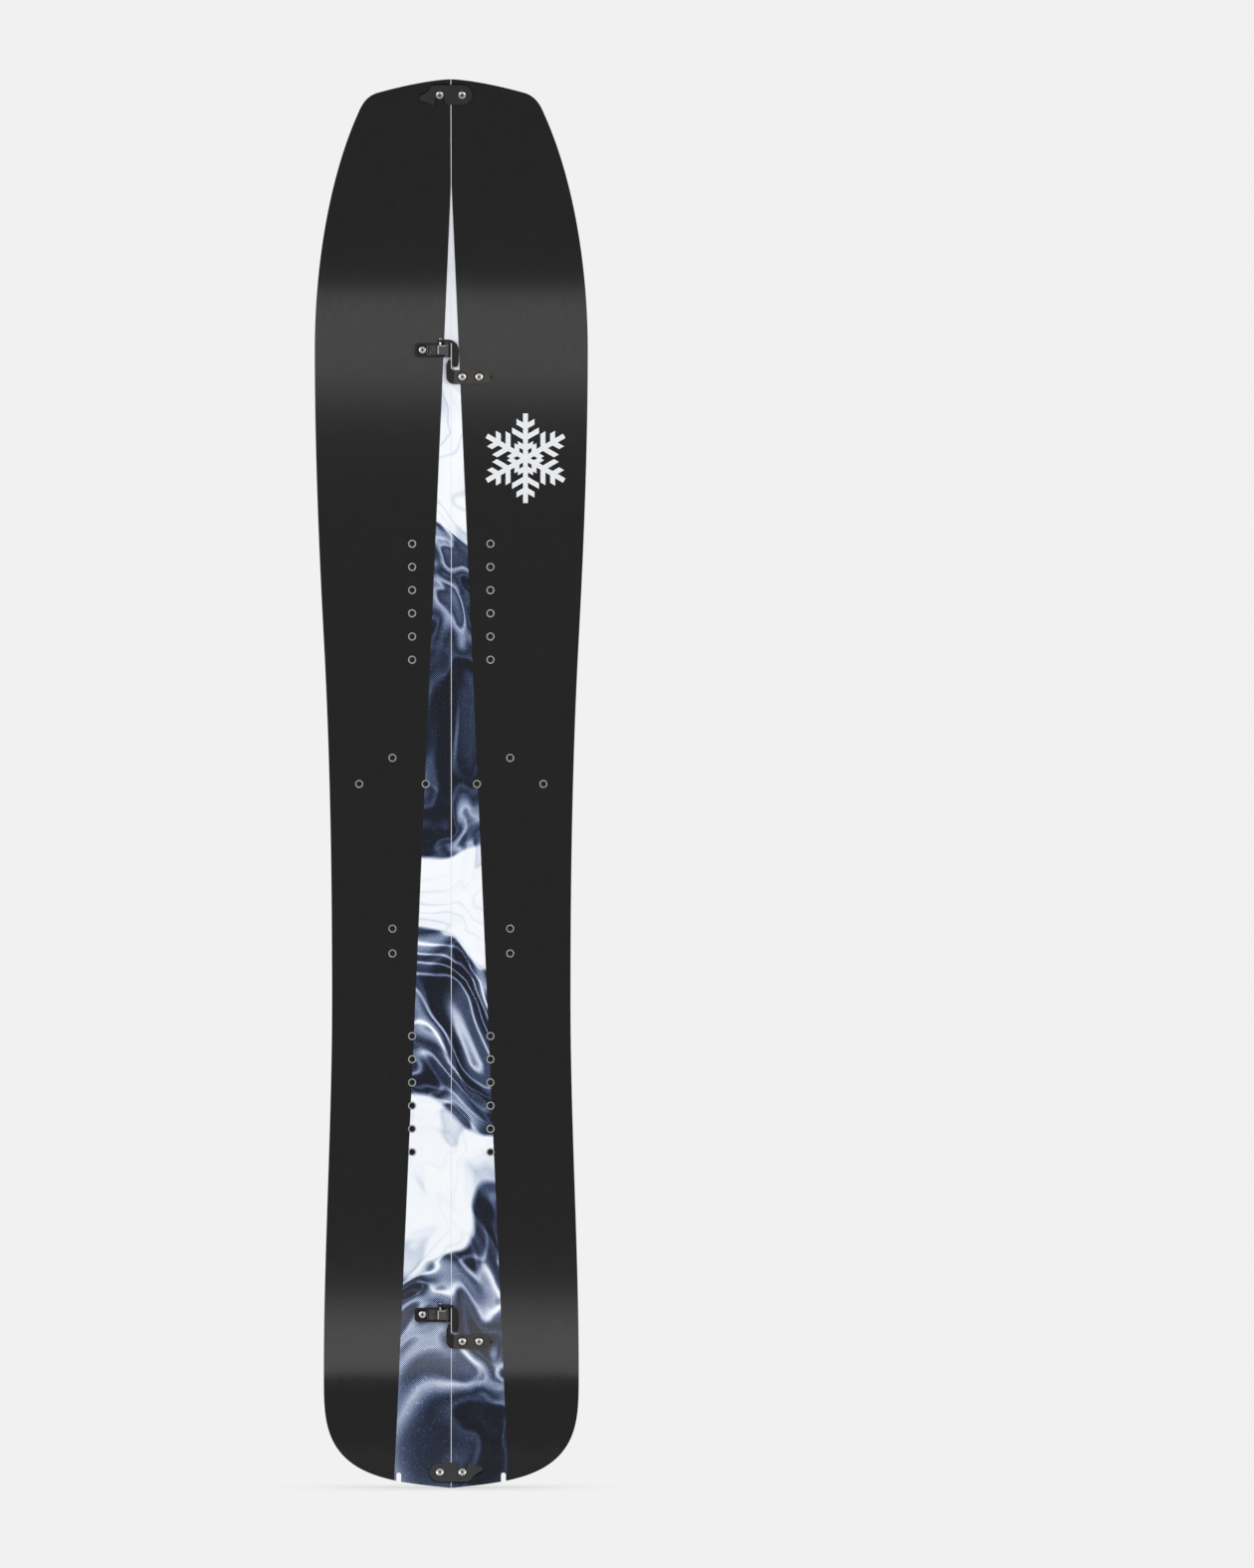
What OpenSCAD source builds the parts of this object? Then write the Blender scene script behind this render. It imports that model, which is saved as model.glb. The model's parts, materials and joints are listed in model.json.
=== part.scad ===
// Splitboard: two ski-like halves joined along a lengthwise seam by two tension
// clips and two rotating tip latches. Millimetres. The board stands upright:
// +Z runs from tail to nose, +X to the right half, and the topsheet faces -Y.
// The origin is on the topsheet surface, on the seam, at mid-length.

/* [Board outline] */
// Length of the joined board, tail to nose
board_l = 1540; // [1500:5:1580]
// Full width at the widest point of the nose
nose_w = 299.2; // [290:0.2:310]
// Full width at the waist
waist_w = 261.4; // [252:0.2:270]
// Full width where the front foot stands
front_foot_w = 279.2; // [272:0.2:284]
// Full width at the widest point of the tail
tail_w = 279.4; // [272:0.2:290]
// Distance from the widest point of the nose to the nose tip
nose_l = 295; // [285:1:305]
// Distance from the widest point of the tail to the tail tip
tail_l = 125; // [115:1:135]
// Position of the waist, below mid-length
waist_setback = 237; // [220:1:250]

/* [Side profile] */
// Angle of the straight nose end against the flat running surface
nose_angle = 19; // [14:1:22]
// Angle of the straight tail end against the flat running surface
tail_angle = 16; // [10:1:18]
// Distance from the nose tip at which the nose starts to curve up
nose_bend = 284; // [270:1:285]
// Distance from the tail tip at which the tail starts to curve up
tail_bend = 148; // [130:1:150]
// How gradually both ends start to curve up
bend_power = 1.6; // [1:0.1:3]

/* [Layers] */
// Thickness of the topsheet, and of each glass laminate
skin_t = 0.6; // [0.4:0.05:0.8]
// Thickness of the wood core underfoot
core_t = 4.6; // [4.6:0.1:6]
// Thickness of the core layer at both tips
tip_core_t = 1.7; // [1.6:0.1:2.2]
// Thickness of the base sheet
base_t = 1.2; // [1:0.1:1.4]
// Width of the steel edges
edge_w = 2.2; // [1.8:0.1:2.6]
// Width of the outer sidewalls
outer_wall_w = 8; // [6:0.5:10]
// Width of the inner sidewalls, along the seam
inner_wall_w = 6; // [4:0.5:7]
// Gap between the two halves
seam_gap = 0.6; // [0.4:0.1:1]

/* [Binding inserts] */
// Distance between neighbouring insert rows
insert_pitch = 25.4; // [25:0.1:26]
// Distance between the two insert columns
insert_gauge = 85.8; // [84:0.2:88]
// Rows of inserts in each binding pack
insert_rows = 6; // [3:1:6]
// Middle of the front binding pack, above mid-length
front_pack_z = 199.6; // [190:0.2:210]
// Middle of the rear binding pack, above mid-length
rear_pack_z = -339.6; // [-350:0.2:-330]
// Radius of the insert barrel
insert_r = 4.5; // [4:0.1:5]
// Minor radius of the insert thread
insert_bore_r = 2.5; // [2.4:0.05:2.7]

/* [Tension clips] */
// Centre line of the front clip, above mid-length
front_clip_z = 475.2; // [466:0.2:478]
// Centre line of the rear clip, above mid-length
rear_clip_z = -581.2; // [-584:0.2:-570]
// How far each keeper sits below its clip
keeper_drop = 29.5; // [29:0.1:32]
// Width of the clip base, along the board
clip_w = 15.6; // [15.4:0.1:17]
// Length of the clip base
clip_l = 39.3; // [39:0.1:42]
// Distance from the lever's pivot to the hook's pin
throw_r = 7; // [6.8:0.1:7.2]
// Height of both pins above the topsheet
pin_h = 6.2; // [6.2:0.1:6.6]
// Gap between the hook and the keeper claw when closed
hook_gap = 0.9; // [0.8:0.1:1.2]

/* [Tip latches] */
// Distance from each tip latch screw to its board tip
latch_inset = 16; // [15.5:0.1:18]
// Distance from each tip latch screw to the seam
latch_x = 12.3; // [12:0.1:13]
// Thickness of the latch
latch_t = 3.1; // [2.6:0.1:3.2]

/* [Hidden] */
$fn = 48;

half_l = board_l / 2;
seam_x = seam_gap / 2;
reach = 90;              // half-depth of the prisms that cut the plan shape
half_reach = 170;        // width that covers one half
glue = 0.05;             // glue line round each insert
eps = 0.5;               // overrun of a cutting tool

// ---- outline of one half -------------------------------------------------

// Crown of the nose: a shallow dome that ends in a rounded corner
crown_x = 80;
crown_drop = 14.6;
crown_power = 1.5;
// Side of the nose: a quarter ellipse from the widest point
nose_side_l = 352;
corner_z = half_l - 32;
// Tail: a superellipse laid over a shallow V
tail_power = 3.5;
tail_v = 0.1;
// Rate at which the board widens at the front foot
front_foot_z = 156;
front_foot_slope = 0.054;

function crown_z(x) = half_l - crown_drop * pow(x / crown_x, crown_power);
function crown_slope(x) = -crown_drop * crown_power / crown_x * pow(x / crown_x, crown_power - 1);
function nose_side(a) = [nose_w / 2 * cos(a), half_l - nose_l + nose_side_l * sin(a)];

corner_a = asin((corner_z - half_l + nose_l) / nose_side_l);
corner_from = [crown_x, crown_z(crown_x)];
corner_to = nose_side(corner_a);
corner_dir = [1, crown_slope(crown_x)];
side_dir = [-nose_w / 2 * sin(corner_a), nose_side_l * cos(corner_a)];

function cross2(a, b) = a[0] * b[1] - a[1] * b[0];
function meet(p, d, q, e) = p + d * cross2(q - p, e) / cross2(d, e);
function bezier(a, b, c, t) = a * (1 - t) * (1 - t) + b * 2 * t * (1 - t) + c * t * t;
function hermite(a, b, t) =
    let (h = b[0] - a[0])
    [a[1] * (2 * t * t * t - 3 * t * t + 1) + h * a[2] * (t * t * t - 2 * t * t + t)
        + b[1] * (3 * t * t - 2 * t * t * t) + h * b[2] * (t * t * t - t * t),
     a[0] + h * t];

// Sidecut stations: [position along the board, half-width, slope]
sidecut = [
    [half_l - nose_l, nose_w / 2, 0],
    [front_foot_z, front_foot_w / 2, front_foot_slope],
    [-waist_setback, waist_w / 2, 0],
    [tail_l - half_l, tail_w / 2, 0]
];

function tail_point(a) =
    let (x = tail_w / 2 * pow(sin(a), 2 / tail_power))
    [x, -half_l + tail_v * x
        + (tail_l - tail_v * tail_w / 2) * (1 - pow(cos(a), 2 / tail_power))];

// Outer edge of the right half as [x, z], from the nose round to the tail
outline = concat(
    [for (i = [0 : 6]) let (x = seam_x + (crown_x - seam_x) * i / 6) [x, crown_z(x)]],
    [for (i = [1 : 4]) bezier(corner_from, meet(corner_from, corner_dir, corner_to, side_dir),
        corner_to, i / 4)],
    [for (i = [1 : 10]) nose_side(corner_a * (1 - i / 10))],
    [for (s = [0 : 2], i = [1 : 8]) hermite(sidecut[s], sidecut[s + 1], i / 8)],
    [for (i = [1 : 15]) tail_point(90 * (1 - i / 16))],
    [[seam_x, -half_l + tail_v * seam_x]]
);

function unit(v) = v / norm(v);
function inward(p, i) =
    i == 0 ? [0, -1] :
    i == len(p) - 1 ? [0, 1] :
    let (t = unit(p[i + 1] - p[i - 1])) [t[1], -t[0]];

// Plan of one half, set in from the outline by inset
function half_plan(inset) =
    [for (i = [0 : len(outline) - 1]) outline[i] + inset * inward(outline, i)];

// ---- side profile ----------------------------------------------------------

tip_flat = 45;           // straight length at each tip

// Rise over a run from where the bend starts: the slope grows as a power of the run
function bend_rise(run, bend, angle) =
    let (
        curve_run = bend - tip_flat,
        top = curve_run * tan(angle) / (bend_power + 1)
    )
    run <= 0 ? 0 :
    run <= curve_run ? top * pow(run / curve_run, bend_power + 1) :
    top + (run - curve_run) * tan(angle);

function rise(z) = bend_rise(z - half_l + nose_bend, nose_bend, nose_angle)
    + bend_rise(-z - half_l + tail_bend, tail_bend, tail_angle);
function deck_y(z) = -rise(z);
function deck_tilt(z) = z > half_l - tip_flat ? nose_angle : z < tip_flat - half_l ? -tail_angle : 0;
// The core thins evenly from the start of each bend to the tip
function taper(z) = max(0, 1 - (half_l - z) / nose_bend, 1 - (half_l + z) / tail_bend);
function core_at(z) = core_t - (core_t - tip_core_t) * taper(z);

// A depth is [plain part, share of the core thickness], from the topsheet surface
DECK = [0, 0];
UPPER_GLASS = [skin_t, 0];
CORE_TOP = [2 * skin_t, 0];
CORE_BOTTOM = [2 * skin_t, 1];
LOWER_GLASS = [3 * skin_t, 1];
BASE_FACE = [3 * skin_t + base_t, 1];

function depth_y(d, z) = deck_y(z) + d[0] + d[1] * core_at(z);

arc_steps = 12;
tail_steps = 6;
profile_z = concat(
    [-half_l - 5],
    [for (i = [0 : tail_steps]) -half_l + tip_flat + (tail_bend - tip_flat) * i / tail_steps],
    [for (i = [0 : arc_steps]) half_l - nose_bend + (nose_bend - tip_flat) * i / arc_steps],
    [half_l + 5]
);

module plan_prism(points)
    translate([0, reach, 0]) rotate([90, 0, 0]) linear_extrude(2 * reach) polygon(points);

module slab(from, to)
    rotate([90, 0, 90]) linear_extrude(half_reach) polygon(concat(
        [for (z = profile_z) [depth_y(from, z), z]],
        [for (i = [len(profile_z) - 1 : -1 : 0]) [depth_y(to, profile_z[i]), profile_z[i]]]));

module span(x0, x1, z0, z1)
    translate([x0, -reach, z0]) cube([x1 - x0, 2 * reach, z1 - z0]);

// Area of one half that the steel edges enclose
module inside_edges()
    intersection() {
        plan_prism(half_plan(edge_w));
        span(seam_x + edge_w, half_reach, -half_l, half_l);
    }

// Local frame on the topsheet: x across, y along the board, z out of the deck
module on_deck(x, z)
    translate([x, deck_y(z), z]) rotate([90 + deck_tilt(z), 0, 0]) children();

module for_side(side) mirror([side < 0 ? 1 : 0, 0, 0]) children();

// ---- regions and holes of one half ----------------------------------------

core_nose_z = half_l - 180;
core_tail_z = 65 - half_l;
guard_l = 18.6;          // tail guard, at the sides
guard_hump = 6.3;        // more of it at the seam
guard_hump_x = 40;
nose_guard_w = 27.5;
nose_guard_l = 28.5;
notch_x = 57.3;
notch_w = 5.3;
notch_l = 16.6;

tail_guard_region = concat(
    [for (i = [0 : 8]) let (x = guard_hump_x * i / 8)
        [x, guard_l - half_l + guard_hump * (1 + cos(180 * i / 8)) / 2]],
    [[half_reach, guard_l - half_l], [half_reach, -half_l - 20], [0, -half_l - 20]]
);
nose_guard_region = concat(
    [for (i = [0 : 10]) [nose_guard_w * sin(9 * i), half_l - nose_guard_l * cos(9 * i)]],
    [[nose_guard_w, half_l + 20], [0, half_l + 20]]
);

// Slot in the tail for the clip of a climbing skin
module skin_notch() {
    translate([notch_x, reach, notch_l - notch_w / 2 - half_l])
        rotate([90, 0, 0]) cylinder(h = 2 * reach, r = notch_w / 2);
    span(notch_x - notch_w / 2, notch_x + notch_w / 2,
        -half_l - 20, notch_l - notch_w / 2 - half_l);
}

// Binding inserts of one half as [x, z]
touring_x = [28.1, 100.9];
touring_side = [64.5, 28.6];
heel_x = 64.5;
heel_z = -172;
heel_pitch = 27.2;
function pack_at(z) = [for (i = [0 : insert_rows - 1])
    [insert_gauge / 2, z + insert_pitch * (i - (insert_rows - 1) / 2)]];
binding_spots = concat(
    pack_at(front_pack_z), pack_at(rear_pack_z),
    [for (x = touring_x) [x, 0]], [touring_side],
    [for (s = [-1, 1]) [heel_x, heel_z + s * heel_pitch / 2]]
);
flange_r = 7;
flange_t = 0.6;
insert_l = 2 * skin_t + core_t;

// Small inserts of one half as [x, z, length]
clip_screw_x = [31.5, 13];
keeper_screw_x = [12.1, 30.5];
screw_insert_r = 3.2;
screw_insert_l = 5;
tip_insert_l = 2.5;
screw_r = 2;
tip_spots = [
    [latch_x, half_l - latch_inset, tip_insert_l],
    [latch_x, latch_inset - half_l, tip_insert_l]
];
left_spots = concat(
    [for (z = [front_clip_z, rear_clip_z], x = clip_screw_x) [x, z, screw_insert_l]], tip_spots);
right_spots = concat(
    [for (z = [front_clip_z, rear_clip_z], x = keeper_screw_x)
        [x, z - keeper_drop, screw_insert_l]], tip_spots);
function small_spots(side) = side < 0 ? left_spots : right_spots;

module insert_holes(side) {
    for (p = binding_spots)
        on_deck(p[0], p[1]) translate([0, 0, -insert_l - eps])
            cylinder(h = insert_l + 2 * eps, r = insert_r + glue);
    for (p = binding_spots)
        on_deck(p[0], p[1]) translate([0, 0, -insert_l - eps])
            cylinder(h = flange_t + glue + eps, r = flange_r + glue);
    for (p = small_spots(side))
        on_deck(p[0], p[1]) translate([0, 0, -p[2] - glue])
            cylinder(h = p[2] + glue + eps, r = screw_insert_r + glue);
}

// ---- layers of one half ------------------------------------------------------

module skin(side, from, to)
    for_side(side) difference() {
        intersection() {
            plan_prism(half_plan(0));
            slab(from, to);
        }
        insert_holes(side);
        skin_notch();
    }

module topsheet(side) color([0.06, 0.06, 0.065]) skin(side, DECK, UPPER_GLASS);

module upper_laminate(side) color([0.75, 0.8, 0.7]) skin(side, UPPER_GLASS, CORE_TOP);

module core(side) color([0.8, 0.65, 0.42])
    for_side(side) difference() {
        intersection() {
            plan_prism(half_plan(outer_wall_w));
            slab(CORE_TOP, CORE_BOTTOM);
            span(seam_x + inner_wall_w, half_reach, core_tail_z, core_nose_z);
        }
        insert_holes(side);
    }

module outer_sidewall(side) color([0.1, 0.1, 0.11])
    for_side(side) intersection() {
        difference() {
            plan_prism(half_plan(0));
            plan_prism(half_plan(outer_wall_w));
        }
        slab(CORE_TOP, CORE_BOTTOM);
        span(0, half_reach, core_tail_z, core_nose_z);
    }

module inner_sidewall(side) color([0.1, 0.1, 0.11])
    for_side(side) intersection() {
        slab(CORE_TOP, CORE_BOTTOM);
        span(seam_x, seam_x + inner_wall_w, core_tail_z, core_nose_z);
    }

module tip_spacer(side, z0, z1) color([0.14, 0.14, 0.15])
    for_side(side) difference() {
        intersection() {
            plan_prism(half_plan(0));
            slab(CORE_TOP, CORE_BOTTOM);
            span(0, half_reach, z0, z1);
        }
        insert_holes(side);
        skin_notch();
    }

module lower_laminate(side) color([0.75, 0.8, 0.7])
    for_side(side) difference() {
        intersection() {
            slab(CORE_BOTTOM, LOWER_GLASS);
            union() {
                inside_edges();
                intersection() {
                    plan_prism(half_plan(0));
                    plan_prism(tail_guard_region);
                }
            }
        }
        skin_notch();
    }

module base_sheet(side) color([0.55, 0.58, 0.68])
    for_side(side) difference() {
        intersection() {
            slab(LOWER_GLASS, BASE_FACE);
            inside_edges();
        }
        plan_prism(tail_guard_region);
        plan_prism(nose_guard_region);
    }

module outer_edge(side) color([0.6, 0.6, 0.62])
    for_side(side) difference() {
        intersection() {
            slab(CORE_BOTTOM, BASE_FACE);
            plan_prism(half_plan(0));
        }
        plan_prism(half_plan(edge_w));
        plan_prism(tail_guard_region);
    }

module inner_edge(side) color([0.6, 0.6, 0.62])
    for_side(side) difference() {
        intersection() {
            slab(CORE_BOTTOM, BASE_FACE);
            plan_prism(half_plan(edge_w));
            span(seam_x, seam_x + edge_w, -half_l, half_l);
        }
        plan_prism(tail_guard_region);
    }

module nose_guard(side) color([0.55, 0.55, 0.54])
    for_side(side) intersection() {
        slab(LOWER_GLASS, BASE_FACE);
        inside_edges();
        plan_prism(nose_guard_region);
    }

module tail_guard(side) color([0.55, 0.55, 0.54])
    for_side(side) difference() {
        intersection() {
            slab(LOWER_GLASS, BASE_FACE);
            plan_prism(half_plan(0));
            plan_prism(tail_guard_region);
        }
        skin_notch();
    }

// Flanged barrel, blind, flush with the topsheet
module binding_insert()
    difference() {
        union() {
            translate([0, 0, -insert_l]) cylinder(h = insert_l, r = insert_r);
            translate([0, 0, -insert_l]) cylinder(h = flange_t, r = flange_r);
        }
        translate([0, 0, 0.8 - insert_l]) cylinder(h = insert_l, r = insert_bore_r);
    }

module binding_inserts(side) color("silver")
    for_side(side)
        for (p = binding_spots)
            on_deck(p[0], p[1]) binding_insert();

module hardware_inserts(side) color("silver")
    for_side(side)
        for (p = small_spots(side))
            on_deck(p[0], p[1]) difference() {
                translate([0, 0, -p[2]]) cylinder(h = p[2], r = screw_insert_r);
                translate([0, 0, -p[2] - eps]) cylinder(h = p[2] + 2 * eps, r = screw_r + glue);
            }

// ---- hardware helpers ----------------------------------------------------------

head_r = 4.5;
head_t = 2.2;
socket_r = 1.9;
socket_t = 1.4;

function arc(c, r, a0, a1, n) =
    [for (i = [0 : n]) let (a = a0 + (a1 - a0) * i / n) c + r * [cos(a), sin(a)]];

// Shape drawn in the x-height plane, w wide along the board and centred on y0
module across(points, w, y0 = 0)
    translate([0, y0 + w / 2, 0]) rotate([90, 0, 0]) linear_extrude(w) polygon(points);

// Round bar along the board at x, height h, from y0 to y1
module cross_bar(x, h, y0, y1, r)
    translate([x, y1, h]) rotate([90, 0, 0]) cylinder(h = y1 - y0, r = r);

// Pan-head screw: the head sits on seat, the shank reaches down to -grip
module pan_screw(seat, grip, shoulder_r)
    difference() {
        union() {
            translate([0, 0, seat]) cylinder(h = head_t, r = head_r);
            translate([0, 0, -grip]) cylinder(h = seat + grip + 0.1, r = screw_r);
            if (shoulder_r > 0)
                cylinder(h = seat + 0.1, r = shoulder_r);
        }
        translate([0, 0, seat + head_t - socket_t]) cylinder(h = socket_t + eps, r = socket_r, $fn = 6);
    }

// ---- tension clip: base, lever and hook on the left half -------------------------

plate_t = 2.6;
base_x1 = -1;
base_x0 = base_x1 - clip_l;
base_corner = 4;
cheek_t = 1.9;
housing_l = 12.7;        // closed end round the visible screw
housing_x1 = base_x0 + housing_l;
housing_h = 6.4;
rim_h = 3.9;
barrel_r = 3.4;
pivot_x = -5;
hook_pin_x = pivot_x - throw_r;
lever_pin_r = 1.5;
hook_pin_r = 1.25;
running = 0.05;          // radial clearance of a turning pin
pocket_r = 5.8;
hidden_screw_x = -clip_screw_x[1];
seen_screw_x = -clip_screw_x[0];

base_outline = concat(
    arc([base_x0 + base_corner, clip_w / 2 - base_corner], base_corner, 90, 180, 6),
    arc([base_x0 + base_corner, base_corner - clip_w / 2], base_corner, 180, 270, 6),
    [[base_x1, -clip_w / 2], [base_x1, clip_w / 2]]
);

module side_rails(x0, x1, h)
    for (s = [-1, 1])
        translate([x0, s * (clip_w - cheek_t) / 2 - cheek_t / 2, 0]) cube([x1 - x0, cheek_t, h]);

module clip_base(z) color([0.12, 0.12, 0.13])
    on_deck(0, z) difference() {
        union() {
            linear_extrude(plate_t) polygon(base_outline);
            intersection() {
                linear_extrude(housing_h) polygon(base_outline);
                translate([base_x0 - 1, -clip_w, 0])
                    cube([housing_l + 1, 2 * clip_w, housing_h + 1]);
            }
            side_rails(housing_x1 - 1, base_x1, rim_h);
            for (s = [-1, 1])
                across(concat([[pivot_x - barrel_r, 1], [pivot_x + barrel_r, 1]],
                    arc([pivot_x, pin_h], barrel_r, 0, 180, 16)), cheek_t, s * (clip_w - cheek_t) / 2);
        }
        cross_bar(pivot_x, pin_h, -clip_w, clip_w, lever_pin_r);
        translate([seen_screw_x, 0, plate_t]) cylinder(h = housing_h, r = pocket_r);
        translate([seen_screw_x, 0, -eps]) cylinder(h = plate_t + 2 * eps, r = screw_r + 0.1);
        translate([hidden_screw_x, 0, -eps]) cylinder(h = plate_t + 2 * eps, r = screw_r + 0.1);
        translate([hidden_screw_x, 0, plate_t - 1.6]) cylinder(h = 1.7, r1 = 2.1, r2 = 3.9);
    }

clip_grip = 4.6;

// One pan-head screw in the housing and one flush screw under the lever
module clip_screws(z) color("silver")
    on_deck(0, z) {
        translate([seen_screw_x, 0, 0]) pan_screw(plate_t, clip_grip, 0);
        translate([hidden_screw_x, 0, 0]) difference() {
            union() {
                translate([0, 0, -clip_grip]) cylinder(h = clip_grip + plate_t - 1.5, r = screw_r);
                translate([0, 0, plate_t - 1.6]) cylinder(h = 1.5, r1 = screw_r, r2 = 3.6);
            }
            translate([0, 0, plate_t - 1.3]) cylinder(h = 2, r = 1.3, $fn = 6);
        }
    }

module lever_pin(z) color("silver")
    on_deck(0, z) cross_bar(pivot_x, pin_h, -clip_w / 2, clip_w / 2, lever_pin_r);

lever_w = clip_w - 2 * cheek_t - 0.6;
pad_x0 = pivot_x - 11.7;
lever_x0 = pivot_x - 21.8;
lever_under = 3.2;
pad_top = pin_h + barrel_r;
tail_top = 6.3;

lever_side = concat(
    arc([pivot_x, pin_h], barrel_r, -90, 90, 16),
    [[pad_x0 + 1, pad_top], [pad_x0, pad_top - 1], [pad_x0, tail_top]],
    [[lever_x0 + 2.2, tail_top - 0.6], [lever_x0 + 1, tail_top + 0.9]],
    [[lever_x0, tail_top + 0.5], [lever_x0, lever_under + 1.6], [lever_x0 + 2, lever_under]],
    [[pivot_x - 4, lever_under]]
);

module lever(z) color([0.35, 0.36, 0.38])
    on_deck(0, z) difference() {
        across(lever_side, lever_w);
        cross_bar(pivot_x, pin_h, -clip_w, clip_w, lever_pin_r + running);
        cross_bar(hook_pin_x, pin_h, -clip_w, clip_w, hook_pin_r);
    }

arm_y0 = clip_w / 2 + 0.4;
arm_t = 3.2;
arm_y1 = arm_y0 + arm_t;
eye_r = 2.6;
hook_in = hook_gap - 0.3;       // inner face of the hook's claw
hook_out = hook_in + 7.7;
hook_bottom = pin_h - 2.3;
hook_top = pin_h + eye_r;
claw_x0 = -4.5;          // where the arm widens into the claw
claw_end = -19;
claw_arc_r = 12;

// Side view of the arm, with the eye round the hook pin
arm_side = concat(
    arc([hook_pin_x, pin_h], eye_r, 90, 270, 12),
    [[claw_x0 + 0.2, pin_h - eye_r], [claw_x0 + 0.2, pin_h + eye_r]]
);

// Plan of the claw, which curls down past the seam
claw_plan = concat(
    [[claw_x0, arm_y1]],
    arc([hook_out - claw_arc_r, arm_y1 - claw_arc_r], claw_arc_r, 90, 0, 12),
    [[hook_out, claw_end + 5.5]],
    arc([hook_out - 3.8, claw_end + 3], 3, -10, -120, 6),
    [[hook_in, claw_end + 3.2], [hook_in, arm_y0 - 1.4], [hook_in - 1.4, arm_y0], [claw_x0, arm_y0]]
);

module hook(z) color([0.07, 0.07, 0.08])
    on_deck(0, z) difference() {
        union() {
            across(arm_side, arm_t, arm_y0 + arm_t / 2);
            translate([0, 0, hook_bottom]) linear_extrude(hook_top - hook_bottom) polygon(claw_plan);
        }
        cross_bar(hook_pin_x, pin_h, arm_y0 - 1, arm_y1 + 1, hook_pin_r + running);
    }

module hook_pin(z) color("silver")
    on_deck(0, z) {
        cross_bar(hook_pin_x, pin_h, -lever_w / 2, arm_y1 + 0.3, hook_pin_r);
        cross_bar(hook_pin_x, pin_h, arm_y1 + 0.2, arm_y1 + 1, hook_pin_r + 0.9);
    }

// ---- keeper on the right half -----------------------------------------------------

strip_t = 1.6;
strip_w = 10;
keeper_x0 = 2.8;
keeper_x1 = 42.9;
keeper_corner = 6.8;     // rounds the outer end
keeper_w = 15.3;
keeper_h = 4.6;
keeper_seat = 2.2;
catch_in = -0.3;         // face that the hook pulls on
catch_out = -5.5;
catch_h0 = 0.5;
catch_h1 = 5.4;
catch_end = 19.1;
keeper_grip = 4.6;

catch_plan = concat(
    arc([catch_out + 8.1, 0.45], 8.1, 270, 190, 8),
    [[catch_out, 13]],
    arc([catch_out + 3.4, catch_end - 1.8], 1.8, 150, 20, 5),
    arc([catch_in + 2.2, 10.2], 2.2, 180, 270, 5),
    [[keeper_x0 - 0.2, 8], [keeper_x0 - 0.2, -7.65]]
);

module keeper_claw(z) color([0.07, 0.07, 0.08])
    on_deck(0, z) difference() {
        union() {
            translate([0, 0, catch_h0]) linear_extrude(catch_h1 - catch_h0) polygon(catch_plan);
            translate([0.8, -strip_w / 2, 0]) cube([keeper_x1 - 2 - 0.8, strip_w, strip_t]);
            translate([keeper_x1 - 2.2, -1.6, 0]) cube([4.2, 3.2, strip_t]);
        }
        for (x = keeper_screw_x)
            translate([x, 0, -eps]) cylinder(h = strip_t + 2 * eps, r = screw_r + 0.1);
    }

keeper_plan = concat(
    [[keeper_x0, -keeper_w / 2]],
    arc([keeper_x1 - keeper_corner, keeper_corner - keeper_w / 2], keeper_corner, -90, 0, 6),
    arc([keeper_x1 - keeper_corner, keeper_w / 2 - keeper_corner], keeper_corner, 0, 90, 6),
    [[keeper_x0, keeper_w / 2]]
);

module keeper_plate(z) color([0.2, 0.2, 0.21])
    on_deck(0, z) difference() {
        linear_extrude(keeper_h) polygon(keeper_plan);
        translate([0, -strip_w / 2 - 0.1, -eps]) cube([keeper_x1 + 5, strip_w + 0.2, strip_t + eps]);
        for (x = keeper_screw_x) {
            translate([x, 0, 0]) cylinder(h = keeper_h, r = screw_r + 0.1);
            translate([x, 0, keeper_seat]) cylinder(h = keeper_h, r = 6);
        }
    }

module keeper_screws(z) color("silver")
    on_deck(0, z)
        for (x = keeper_screw_x)
            translate([x, 0, 0]) pan_screw(keeper_seat, keeper_grip, 0);

// ---- tip latches ---------------------------------------------------------------------

latch_h0 = 0.6;
latch_seat = latch_h0 + latch_t + 0.3;
shoulder_r = 3.2;
latch_r = 10.9;          // round end about the pivot
post_u = 2 * latch_x;    // post, measured from the pivot
slot_r = 4;
mouth = [post_u - 7, post_u + 6];
arm_x1 = 36.3;
tab_x1 = 46.8;
top_y = 11.4;
tip_grip = 2.3;

// Plan of a latch that pivots at [0, 0]; its slot opens upwards round the post
latch_plan = concat(
    arc([0, 0], latch_r, 90, 270, 18),
    [[27.5, -latch_r]],
    arc([28.3, -2.9], 8, -90, -10, 8),
    [[tab_x1 - 3, 0.6]],
    arc([tab_x1 - 3.2, 3.8], 3.2, -80, 80, 8),
    [[arm_x1 - 0.5, 9.4], [arm_x1 - 3, top_y], [mouth[1], top_y]],
    arc([post_u, 0], slot_r, 0, -180, 14),
    [[mouth[0], top_y], [4, top_y]]
);

// Frame of a latch's pivot: the nose latch points left, the tail latch right
module latch_at(tip)
    on_deck(tip * latch_x, tip * (half_l - latch_inset))
        rotate([0, 0, tip > 0 ? 180 : 0]) children();

module tip_latch(tip) color([0.05, 0.05, 0.055])
    latch_at(tip) difference() {
        translate([0, 0, latch_h0]) linear_extrude(latch_t) polygon(latch_plan);
        cylinder(h = latch_h0 + latch_t + 1, r = shoulder_r + running);
    }

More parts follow.
